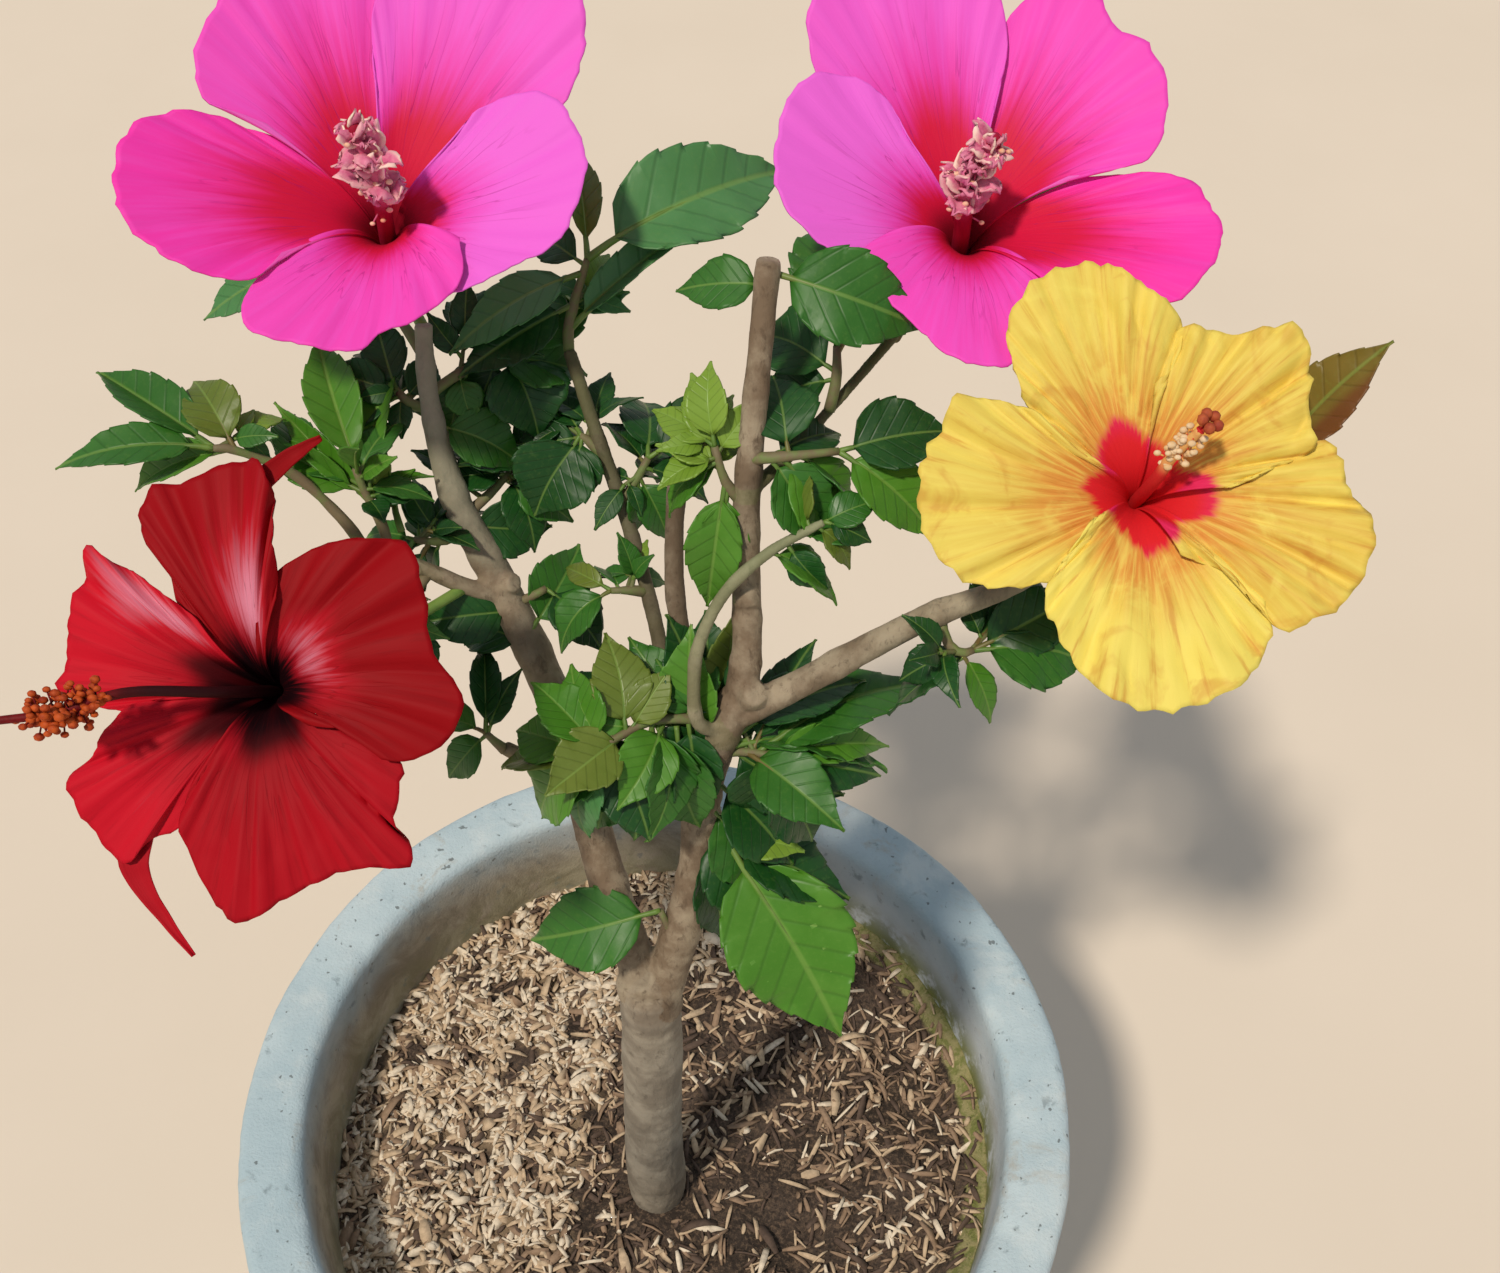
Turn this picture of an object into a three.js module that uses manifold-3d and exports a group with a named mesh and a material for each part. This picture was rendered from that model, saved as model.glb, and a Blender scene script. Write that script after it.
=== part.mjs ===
// A grafted hibiscus shrub in its round cement pot: one trunk, its boughs, clusters of leaves and
// four large blooms. Millimetres, +Z up. The origin is the middle of the pot's flat underside.
// From the front (looking along +Y) the two pink blooms stand at the back, the red one on the left
// and the yellow one on the right.

import * as THREE from 'three';
import { mergeVertices } from 'three/addons/utils/BufferGeometryUtils.js';
import Module from 'manifold-3d';

const wasm = await Module();
wasm.setup();

// Driving dimensions
const CLEARANCE = 0.3; // space left between neighbouring pieces
const POT_RIM_RADIUS = 180;
const POT_WALL = 27;
const POT_HEIGHT = 290;
const POT_FOOT_RADIUS = 122;
const POT_FLOOR = 28;
const POT_BAND_HEIGHT = 46; // the thick band under the rim
const POT_BAND_STEP = 8; // how far the band stands out from the body
const POT_BELLY = 0.62; // how much of its flare the body has at half height
const POT_EDGE = 4; // worn round edge of the rim
const POT_SIDES = 44;
const DRAIN_RADIUS = 8;
const DRAIN_CIRCLE = 55;
const DRAIN_COUNT = 3;
const DRAIN_SIDES = 16;
const SOIL_BELOW_RIM = 58;

const TRUNK_SIDES = 14;
const LIMB_SIDES = 8;
const LIMB_STEP = 20; // length of one ring of a limb

const PETAL_THICKNESS = 1.3;
const PETAL_STEPS = 4;
const PETAL_CLAW_RADIUS = 2.6; // how far a petal's foot stands from the middle of the bloom
const PETAL_CLAW_HALF = 1.5; // half the width of that foot
const PETAL_OPENING = 2.2; // how late a petal widens along its length
const PETAL_FULL_AT = 0.77; // where along its length it has its whole width
const PETAL_FLATTENING = 60; // the tip wraps round a circle this much larger than its own reach
const PETAL_LAP = 1.7; // how far a petal's edges stand over and under its neighbours
const PETAL_ROUNDING = 0.24;
const PETAL_WAVE = 1.6; // height of the ripple along a petal's end
const MOUTH_RADIUS = 7;
const MOUTH_RISE = 3;
const CALYX = { below: 10, above: 12, radii: [2.6, 6.2, 5.4], sides: 7 };
const COLUMN = { root: 4, radii: [2.6, 2.3, 2, 1.8], sides: 5 };
const STALK_RADII = [1.8, 2];
const STALK_UNDER = 6; // where a flower stalk enters the calyx
const TAIL_RADII = [7, 5, 1.2];
const STAMENS = { pads: 5, size: 2.6, out: 2.6, spread: 0.5 }; // tufts of anthers on the column

const LEAF_THICKNESS = 1.6; // at the midrib
const LEAF_FOLD = 0.22; // how steeply the two halves of a leaf rise from its midrib
const LEAF_ARCH = 0.07;
const LEAF_STALK_SHARE = 0.18; // part of a leaf's reach that is its stalk
const LEAF_STALK_WIDTH = 1.9;
const LEAF_STEPS = 4;
const LEAF_BELLY = 0.75; // below 1 puts the widest place of a leaf nearer its stalk
const LEAF_FULLNESS = 0.8; // below 1 makes its outline fuller
const LEAF_LIGHT = [0, -0.25, 1]; // where the leaves turn their faces
const LEAF_ROLL = 0.2; // radians that a leaf may roll either way
const TWIG_SIDES = 5;
const STEM_RADIUS = 1.9; // of a leaf mass's stem, at its foot and at its tip
const STEM_TIP_RADIUS = 1.1;
const SHOOT = { length: [18, 28], place: [0.55, 0.9], rise: [-10, 20], sides: 4 }; // side shoots
const SHOOT_LEAF = { reach: [30, 42], slim: 0.5, fork: 0.7, spread: 55, droop: 8 };
const MASS_SEED = 41;

const SOIL_TOP = POT_HEIGHT - SOIL_BELOW_RIM;
const UP = new THREE.Vector3(0, 0, 1);

// Trunk and boughs: points along the middle, and the radius at each point
const LIMBS = {
  trunk: {
    path: [[-2, -24, 222], [-2, -24, 246], [0, -22, 300], [2, -21, 345], [5, -22, 395], [7, -23, 424],
      [8, -22, 438]],
    radii: [17.5, 14.6, 13.4, 12.6, 12.1, 12.6, 8.5],
  },
  bough_middle: {
    path: [[8, -22, 434], [14, -14, 460], [21, -7, 486], [25, 0, 518], [31, 5, 545], [37, 9, 562]],
    radii: [9.4, 7.9, 7.2, 6.4, 5.9, 6.2],
  },
  bough_left: {
    path: [[3, -20, 432], [-3, -12, 454], [-10, 0, 480], [-23, 29, 529], [-41, 51, 572], [-52, 62, 596],
      [-57, 74, 626], [-57, 84, 648]],
    radii: [8.2, 7.5, 7.2, 6.6, 5.6, 4.8, 3.2, 2.6],
  },
  bough_upright: {
    path: [[37, 8, 556], [40, 14, 578], [40, 21, 597], [40, 31, 626], [43, 43, 661], [46, 54, 694]],
    radii: [5.6, 4.8, 4.4, 4.1, 3.6, 3.3],
  },
  bough_right: {
    path: [[38, 7, 557], [56, 8, 570], [91, 12, 595], [114, 13, 608], [132, 17, 619]],
    radii: [5, 4.5, 3.9, 3.3, 2.5],
  },
  bough_far_left: {
    path: [[-38, 47, 566], [-50, 44, 575], [-62, 42, 586], [-77, 40, 598]],
    radii: [3, 2.7, 2.4, 2.1],
  },
  bough_back: {
    path: [[26, 2, 527], [17, 16, 547], [9, 42, 570], [1, 61, 592], [-6, 72, 611], [-15, 90, 633]],
    radii: [3.2, 2.8, 2.5, 2.4, 2.3, 2.1],
  },
  bough_pink_right: {
    path: [[40, 31, 629], [51, 41, 633], [60, 50, 638], [80, 74, 646], [92, 88, 653]],
    radii: [2.6, 2.4, 2.3, 2.1, 1.9],
  },
  stub_back: {
    path: [[32, 7, 547], [24, 18, 556], [18, 33, 578], [18, 46, 603], [21, 55, 626]],
    radii: [3.3, 3.1, 3.1, 3.1, 3],
  },
  stub_cut: {
    path: [[39, 8, 560], [43, 5, 567], [46, 3, 573]],
    radii: [4.8, 4.6, 4.4],
  },
  twig_arching: {
    path: [[33, 5, 549], [25, 1, 560], [24, 5, 575], [26, 10, 588], [34, 15, 605], [47, 17, 620],
      [62, 18, 631]],
    radii: [2.4, 2.3, 2.2, 2.1, 1.9, 1.7, 1.4],
  },
  twig_low_left: {
    path: [[-17, 18, 506], [-28, 13, 520], [-39, 11, 533]],
    radii: [3.2, 3, 2.4],
  },
};

// Blooms. throat: the mouth of the flower; faces: where it looks; each petal is its direction round
// the throat in degrees (0 is to the right, seen from the front), its reach, its width and the share
// of the width left at its end. rise is how far petal tips stand in front of the mouth, tube how
// deep the throat is. column and tail are points to the right, up and out from the mouth.
const BLOOMS = {
  bloom_pink_left: {
    throat: [-63, 86, 688], faces: [0.1, -0.38, 0.92], tube: 26, rise: 17,
    petals: [[-10, 61, 66, 0.85], [52, 82, 74, 0.9], [124, 80, 70, 0.9], [187, 69, 60, 1],
      [257, 61, 62, 0.85]],
    column: [[0, 0, 0], [0, 2, 20], [-3, 6, 40]], stalk: [-57, 84, 646],
    color: '#e83fb4',
  },
  bloom_pink_right: {
    throat: [103, 84, 686], faces: [0.02, -0.38, 0.92], tube: 26, rise: 17,
    petals: [[-17, 68, 64, 0.95], [51, 78, 70, 0.9], [113, 78, 70, 0.9], [176, 58, 66, 0.9],
      [262, 59, 64, 0.85]],
    column: [[0, 0, 0], [1, 2, 20], [5, 6, 40]], stalk: [92, 88, 651],
    color: '#e83fb4',
  },
  bloom_yellow: {
    throat: [143, 0, 662], faces: [-0.12, -0.56, 0.82], tube: 24, rise: 5,
    petals: [[-22, 61, 58, 0.9], [42, 62, 54, 0.9], [110, 62, 54, 0.9], [180, 61, 56, 1],
      [276, 60, 64, 0.9]],
    column: [[0, 0, 0], [6, 8, 14], [18, 22, 26]], stalk: [131, 17, 617],
    color: '#f4cf2a',
  },
  bloom_red: {
    throat: [-93, -31, 616], faces: [-0.02, -0.62, 0.78], tube: 26, rise: -4,
    petals: [[13, 60, 68, 0.95], [104, 63, 46, 1.1], [160, 60, 48, 1.05], [214, 61, 44, 0.8],
      [287, 65, 70, 1]],
    tail: [[-36, -34, -4], [-33, -48, -5], [-18, -72, -8]],
    column: [[0, 0, 0], [-22, 0, 18], [-56, -9, 28]], stalk: [-49, 45, 574],
    color: '#c5101c',
  },
};

// Leaf masses. stem: points from inside the limb that carries it to its tip; each leaf is the place
// along the stem (0 to 1), its direction on plan and its rise in degrees, its reach and its width.
// shoots: how many side shoots the branching rule adds, in the arc of directions shootArc; space:
// the middle and the radius of the ball that the mass keeps to.
const MASSES = {
  leaves_far_left: {
    stem: [[-77, 40, 597], [-84, 45, 606], [-96, 49, 620], [-110, 48, 630], [-116, 47, 632]],
    leaves: [[1, 143, 6, 54, 24], [1, 187, 0, 46, 23], [0.8, 182, -23, 37, 17], [0.75, 125, 20, 30, 20],
      [0.5, 101, -8, 32, 18]],
    space: [-112, 55, 622, 66],
  },
  leaves_left_shoot: {
    stem: [[-70, 41, 592], [-72, 46, 602], [-76, 50, 611], [-78, 53, 618]],
    leaves: [[1, 108, 12, 64, 27], [0.75, 148, 0, 34, 18], [0.9, 300, 60, 22, 9], [0.9, 62, 12, 26, 15],
      [0.6, 15, -2, 18, 10]],
    space: [-80, 72, 610, 66],
  },
  leaves_left_low: {
    stem: [[-49, 57, 587], [-57, 52, 587], [-65, 52, 588]],
    leaves: [[1, 160, -20, 20, 12], [1, 240, -30, 28, 13], [0.7, 222, -56, 34, 14], [0.9, 100, 10, 26, 12]],
    space: [-70, 48, 580, 44],
  },
  leaves_left_high: {
    stem: [[-56, 73, 623], [-63, 76, 623], [-68, 80, 624]],
    leaves: [[1, 110, 16, 28, 17], [0.9, 200, -30, 22, 12], [0.7, 130, -26, 30, 14], [1, 160, 6, 26, 15]],
    space: [-70, 84, 622, 44],
  },
  leaves_under_pink_left: {
    stem: [[-57, 75, 628], [-50, 82, 629], [-42, 88, 630], [-35, 91, 630]],
    leaves: [[1, 300, -44, 28, 24], [0.5, 230, -56, 22, 13], [0.8, 110, 4, 36, 20], [1, 52, 6, 38, 24],
      [0.9, 85, -26, 44, 22]],
    space: [-40, 96, 628, 60],
  },
  leaves_left_back: {
    stem: [[-50, 60, 590], [-42, 66, 594], [-35, 73, 598]],
    leaves: [[1, 150, 14, 26, 14], [0.9, 341, -32, 26, 13], [0.9, 300, -40, 26, 15], [0.7, 110, 20, 28, 15],
      [1, 60, -10, 38, 20]],
    space: [-36, 80, 594, 52],
  },
  leaf_bough_side: {
    stem: [[-37, 46, 563], [-29, 47, 567], [-25, 49, 568]],
    leaves: [[1, 322, -25, 27, 18]],
    space: [-20, 40, 564, 34],
  },
  leaves_top_middle: {
    stem: [[-15, 90, 632], [-15, 94, 639], [-13, 99, 649], [-9, 104, 660], [-7, 107, 668]],
    leaves: [[1, 33, 3, 67, 30], [0.8, 200, -16, 48, 18], [0.5, 205, -20, 42, 17], [0.25, 25, 15, 50, 15],
      [1, 100, 18, 46, 15], [0.5, 60, -24, 28, 17], [0.9, 130, -8, 26, 12]],
    space: [-5, 112, 660, 76],
  },
  leaves_centre_left: {
    stem: [[-4, 69, 606], [-9, 72, 611], [-12, 73, 613]],
    leaves: [[1, 225, -44, 30, 24], [0.9, 120, 0, 30, 14]],
    space: [-20, 70, 604, 44],
  },
  leaves_centre_right: {
    stem: [[0, 62, 594], [5, 66, 600], [9, 70, 606]],
    leaves: [[1, 30, 4, 32, 21], [0.6, 315, -56, 24, 13], [0.8, 350, -30, 24, 15], [1, 95, 0, 34, 18]],
    space: [14, 74, 600, 44],
  },
  leaves_centre_low: {
    stem: [[8, 44, 572], [3, 42, 575], [-3, 41, 576]],
    leaves: [[1, 138, -10, 24, 7], [0.8, 110, -25, 22, 10], [1, 215, -30, 26, 14]],
    space: [-10, 48, 570, 40],
  },
  leaves_upright: {
    stem: [[40, 31, 624], [34, 32, 633], [31, 36, 643]],
    leaves: [[0.6, 232, -62, 44, 20], [0.9, 108, 22, 26, 15], [1, 140, 4, 24, 14], [0.8, 196, -50, 24, 15],
      [1, 95, 44, 24, 11]],
    space: [28, 40, 630, 50],
  },
  leaves_upright_top: {
    stem: [[64, 54, 640], [66, 59, 648], [66, 64, 656]],
    leaves: [[1, 98, 6, 56, 31], [0.95, 30, 6, 34, 15], [0.6, 141, -2, 28, 17], [0.5, 172, -30, 24, 15],
      [0.9, 64, 8, 42, 18]],
    space: [68, 82, 650, 62],
  },
  leaf_upright_tip: {
    stem: [[45, 51, 684], [40, 52, 688], [37, 53, 689]],
    leaves: [[1, 167, -4, 22, 16]],
    space: [26, 55, 688, 24],
  },
  leaves_upright_right: {
    stem: [[41, 34, 640], [52, 32, 643], [66, 34, 643]],
    leaves: [[1, 12, 4, 32, 19], [1, 333, -32, 38, 18], [0.6, 20, -50, 26, 16], [0.4, 350, -60, 34, 18],
      [0.6, 84, 24, 20, 13]],
    space: [64, 28, 632, 50],
  },
  leaves_low_left: {
    stem: [[31, 6, 548], [24, 5, 556], [11, 3, 558], [1, -3, 558], [-8, -9, 557]],
    leaves: [[0.9, 118, 30, 28, 18], [0.45, 110, 20, 18, 13], [0.7, 104, 34, 32, 18], [0.3, 80, 30, 26, 16],
      [0.6, 226, -58, 42, 24], [0.95, 190, -56, 38, 23], [0.5, 252, -60, 40, 22], [0.3, 280, -66, 38, 16],
      [1, 150, -10, 30, 18]],
    space: [-4, 2, 545, 56],
  },
  leaves_low_twig: {
    stem: [[-39, 11, 532], [-42, 11, 537], [-44, 11, 541]],
    leaves: [[1, 95, 14, 32, 9], [0.9, 62, 24, 24, 8], [0.9, 200, -44, 24, 15], [1, 160, -12, 26, 15]],
    space: [-46, 16, 536, 44],
  },
  leaves_right_bough: {
    stem: [[31, 4, 540], [40, 2, 543], [48, -1, 545]],
    leaves: [[0.7, 25, 4, 62, 25], [0.8, 11, -6, 44, 12], [1, 0, -14, 38, 15], [1, 320, -56, 37, 24],
      [0.6, 62, 20, 44, 15]],
    space: [60, 8, 540, 62],
  },
  leaves_yellow_side: {
    stem: [[97, 13, 598], [99, 7, 592], [103, 4, 590], [107, 5, 590]],
    leaves: [[1, 0, -6, 36, 25], [0.7, 318, -55, 30, 13], [0.6, 190, -30, 20, 11], [1, 22, 16, 38, 18],
      [1, 60, 0, 44, 22]],
    space: [114, 14, 588, 52],
  },
  leaves_behind_yellow: {
    stem: [[126, 16, 615], [136, 27, 618], [160, 34, 626], [190, 36, 638]],
    leaves: [[1, 8, 60, 48, 28], [0.6, 70, 6, 44, 24], [0.4, 100, 6, 40, 22], [0.8, 340, -30, 36, 20],
      [0.3, 40, -34, 40, 20]],
    shoots: 1, shootArc: [60, 90], space: [164, 46, 640, 74],
  },
  leaves_behind_pink_left: {
    stem: [[-57, 80, 638], [-68, 96, 642], [-84, 114, 646], [-100, 122, 650]],
    leaves: [[1, 170, 6, 46, 24], [0.9, 120, 4, 50, 26], [0.8, 205, -10, 44, 22], [0.5, 90, -6, 52, 26],
      [0.6, 60, 4, 48, 24]],
    shoots: 1, shootArc: [70, 110], space: [-88, 124, 644, 72],
  },
  leaves_behind_pink_right: {
    stem: [[84, 79, 647], [91, 96, 644], [104, 114, 645], [118, 125, 648]],
    leaves: [[1, 40, 4, 48, 25], [1, 90, 6, 50, 26], [0.7, 140, -4, 46, 24], [0.6, 0, -6, 44, 22],
      [0.8, 60, -24, 40, 20]],
    shoots: 1, shootArc: [70, 110], space: [110, 126, 646, 72],
  },
  leaves_behind_red: {
    stem: [[-60, 42, 583], [-70, 30, 576], [-84, 22, 570], [-98, 14, 568]],
    leaves: [[1, 180, -6, 44, 24], [1, 235, -24, 42, 24], [0.7, 130, 0, 44, 22], [0.7, 270, -36, 42, 22],
      [0.4, 250, -50, 40, 22]],
    space: [-92, 12, 566, 66],
  },
  leaves_low_front: {
    stem: [[23, -3, 502], [30, -8, 508], [34, -10, 509]],
    leaves: [[1, 312, -40, 76, 40], [0.9, 350, 4, 26, 14], [0.9, 345, -20, 46, 24]],
    space: [60, -30, 490, 66],
  },
  leaf_fork: {
    stem: [[14, -14, 460], [6, -20, 472], [0, -22, 476]],
    leaves: [[1, 200, -26, 46, 26]],
    space: [-18, -24, 466, 46],
  },
};

const FINISHES = {
  pot: { color: '#aeb9bb', roughness: 0.85 },
  soil: { color: '#5a4636', roughness: 1 },
  trunk: { color: '#8b8272', roughness: 0.85 },
  bough: { color: '#7a6a55', roughness: 0.8 },
};
const PETAL_ROUGHNESS = 0.55;
const LEAF_ROUGHNESS = 0.45;
const LEAF_COLORS = ['#2f6b22', '#3c7d2a', '#235a20'];

// Solids

function point(list) {
  return new THREE.Vector3(...list);
}

// A closed solid from a three.js geometry whose shared corners are merged
function solidOf(geometry) {
  const triangles = [];
  const index = geometry.index.array;
  for (let i = 0; i < index.length; i += 3) {
    const [a, b, c] = [index[i], index[i + 1], index[i + 2]];
    if (a !== b && b !== c && c !== a) triangles.push(a, b, c);
  }
  const mesh = new wasm.Mesh({
    numProp: 3,
    vertProperties: Float32Array.from(geometry.attributes.position.array),
    triVerts: Uint32Array.from(triangles),
  });
  return new wasm.Manifold(mesh);
}

function bare(geometry) {
  geometry.deleteAttribute('normal');
  geometry.deleteAttribute('uv');
  return mergeVertices(geometry, 1e-4);
}

// Moves every corner of a geometry by a rule
function reshape(geometry, rule) {
  const corners = geometry.attributes.position;
  const corner = new THREE.Vector3();
  for (let i = 0; i < corners.count; i += 1) {
    corner.fromBufferAttribute(corners, i);
    corners.setXYZ(i, ...rule(corner).toArray());
  }
  return geometry;
}

// Rings along a smooth line, each with its place and two directions across
function ringsAlong(points, radii, steps) {
  const curve = new THREE.CatmullRomCurve3(points, false, 'catmullrom', 0.5);
  const rings = [];
  let across = new THREE.Vector3(1, 0, 0);
  for (let i = 0; i <= steps; i += 1) {
    const t = i / steps;
    const along = curve.getTangent(t);
    if (i === 0 && Math.abs(along.x) > 0.9) across.set(0, 1, 0);
    across = across.clone().addScaledVector(along, -across.dot(along)).normalize();
    const side = along.clone().cross(across);
    const place = t * (radii.length - 1);
    const whole = Math.min(Math.floor(place), radii.length - 2);
    const radius = THREE.MathUtils.lerp(radii[whole], radii[whole + 1], place - whole);
    rings.push({ middle: curve.getPoint(t), across, side, along, radius });
  }
  return rings;
}

// A tapering limb along a line; extra makes it fatter and longer, for clearances
function limb(path, radii, sides, extra = 0) {
  const points = path.map(point);
  const length = points.slice(1).reduce((sum, p, i) => sum + p.distanceTo(points[i]), 0);
  const steps = Math.max(points.length - 1, Math.round(length / LIMB_STEP));
  const rings = ringsAlong(points, radii, steps);
  const shape = bare(new THREE.CylinderGeometry(1, 1, 1, sides, steps));
  return solidOf(reshape(shape, (corner) => {
    const share = corner.y + 0.5;
    const ring = rings[Math.round(share * steps)];
    const end = share === 0 ? -extra : share === 1 ? extra : 0;
    return ring.middle.clone()
      .addScaledVector(ring.across, corner.x * (ring.radius + extra))
      .addScaledVector(ring.side, -corner.z * (ring.radius + extra))
      .addScaledVector(ring.along, end);
  }));
}

// A thin closed sheet: surface gives a point for a place along (0 to 1) and across (-1 to 1)
function sheet(surface, acrossSteps, alongSteps, thickness) {
  const shape = bare(new THREE.BoxGeometry(1, 1, 1, acrossSteps, alongSteps, 1));
  const nudge = 0.01;
  return solidOf(reshape(shape, (corner) => {
    const along = corner.y + 0.5;
    const across = corner.x * 2;
    const here = surface(along, across);
    const alongStep = surface(along + nudge, across).sub(surface(along - nudge, across));
    const acrossStep = surface(along, across + nudge).sub(surface(along, across - nudge));
    const out = acrossStep.cross(alongStep).normalize();
    return here.addScaledVector(out, corner.z * thickness);
  }));
}

function lathe(profile, sides) {
  const shape = bare(new THREE.LatheGeometry(profile.map(([r, z]) => new THREE.Vector2(r, z)), sides));
  shape.rotateX(Math.PI / 2);
  return solidOf(shape);
}

function ball(middle, radius) {
  const shape = bare(new THREE.SphereGeometry(radius, 4, 2));
  shape.translate(...middle.toArray());
  return solidOf(shape);
}

function boxesMeet(a, b) {
  const [p, q] = [a.boundingBox(), b.boundingBox()];
  return [0, 1, 2].every((i) => p.min[i] < q.max[i] && q.min[i] < p.max[i]);
}

function meets(a, b) {
  return boxesMeet(a, b) && a.intersect(b).volume() > 0;
}

// The main piece of a solid, without loose scraps and with sealed hollows filled
function mainPiece(solid) {
  return solid.decompose().reduce((best, next) => (next.volume() > best.volume() ? next : best));
}

// Placed pieces: neighbours that come later are cut clear of a limb's fatter copy
const placed = [];

function place(name, solid, finish, fatCopy = null) {
  let clear = solid;
  for (const other of placed) {
    if (other.fatCopy && boxesMeet(clear, other.fatCopy)) clear = clear.subtract(other.fatCopy);
  }
  placed.push({ name, solid: mainPiece(clear), finish, fatCopy });
}

// Pot and soil

// The pot is a round cement bowl with a thick flat rim, a band under it and a plain foot

function potProfile() {
  const inner = POT_RIM_RADIUS - POT_WALL;
  const bandFoot = POT_HEIGHT - POT_BAND_HEIGHT;
  const bandBack = POT_RIM_RADIUS - POT_BAND_STEP;
  return [
    [0, 0],
    [POT_FOOT_RADIUS - POT_EDGE, 0],
    [POT_FOOT_RADIUS, POT_EDGE],
    [THREE.MathUtils.lerp(POT_FOOT_RADIUS, bandBack, POT_BELLY), bandFoot / 2],
    [bandBack - POT_EDGE, bandFoot],
    [POT_RIM_RADIUS - POT_EDGE / 2, bandFoot + POT_EDGE],
    [POT_RIM_RADIUS, POT_HEIGHT - POT_EDGE],
    [POT_RIM_RADIUS - POT_EDGE, POT_HEIGHT],
    [inner + POT_EDGE, POT_HEIGHT],
    [inner, POT_HEIGHT - POT_EDGE],
    [inner - POT_EDGE, SOIL_TOP],
    [POT_FOOT_RADIUS - POT_WALL, POT_FLOOR],
    [0, POT_FLOOR],
  ];
}

function makePot() {
  let pot = lathe(potProfile(), POT_SIDES);
  for (let i = 0; i < DRAIN_COUNT; i += 1) {
    const angle = (i / DRAIN_COUNT) * 2 * Math.PI;
    const hole = bare(new THREE.CylinderGeometry(DRAIN_RADIUS, DRAIN_RADIUS, POT_FLOOR * 3, DRAIN_SIDES));
    hole.rotateX(Math.PI / 2);
    hole.translate(DRAIN_CIRCLE * Math.cos(angle), DRAIN_CIRCLE * Math.sin(angle), 0);
    pot = pot.subtract(solidOf(hole));
  }
  return pot;
}

// The soil fills the bowl up to its flat top, a hair clear of the wall
function makeSoil(extra = 0) {
  const wall = POT_RIM_RADIUS - POT_WALL - POT_EDGE - CLEARANCE;
  const foot = POT_FOOT_RADIUS - POT_WALL - CLEARANCE;
  return lathe([
    [0, POT_FLOOR + CLEARANCE],
    [foot, POT_FLOOR + CLEARANCE],
    [wall + extra, SOIL_TOP + extra],
    [0, SOIL_TOP + extra],
  ], POT_SIDES);
}

// Blooms

function bloomFrame(bloom) {
  const axis = point(bloom.faces).normalize();
  const right = new THREE.Vector3(1, 0, 0).addScaledVector(axis, -axis.x).normalize();
  const top = axis.clone().cross(right);
  return { axis, right, top, throat: point(bloom.throat) };
}

// A petal leaves the calyx as a narrow claw, climbs the throat and spreads into a broad round blade.
// It wraps round the throat and laps over its neighbour, as the petals of a bud do when they unroll.
function petalSurface(bloom, frame, [direction, reach, width, tip], order) {
  const angle = THREE.MathUtils.degToRad(direction);
  const out = frame.right.clone().multiplyScalar(Math.cos(angle))
    .addScaledVector(frame.top, Math.sin(angle));
  const across = frame.axis.clone().cross(out);
  const bend = new THREE.QuadraticBezierCurve(
    new THREE.Vector2(PETAL_CLAW_RADIUS, -bloom.tube),
    new THREE.Vector2(MOUTH_RADIUS, MOUTH_RISE),
    new THREE.Vector2(reach, bloom.rise),
  );
  return (s, w) => {
    const rounded = THREE.MathUtils.clamp(s * (1 - PETAL_ROUNDING * w * w * s * s), 0, 1);
    const spine = bend.getPoint(rounded);
    const slope = bend.getTangent(rounded);
    const quarter = THREE.MathUtils.clamp(s / PETAL_FULL_AT, 0, 1) * (Math.PI / 2);
    const opened = Math.sin(quarter) ** PETAL_OPENING * (1 + (tip - 1) * s ** 4);
    const spread = PETAL_CLAW_HALF + (width / 2 - PETAL_CLAW_HALF) * opened;
    const wrapRadius = spine.x + PETAL_FLATTENING * s * s;
    const turn = (spread * w) / wrapRadius;
    const ripple = PETAL_WAVE * s * s * Math.sin(3 * w + 2 * order);
    const lap = PETAL_LAP * w * (1 + s) + ripple;
    return frame.throat.clone()
      .addScaledVector(out, spine.x - wrapRadius * (1 - Math.cos(turn)) - slope.y * lap)
      .addScaledVector(frame.axis, spine.y + slope.x * lap)
      .addScaledVector(across, wrapRadius * Math.sin(turn));
  };
}

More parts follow.
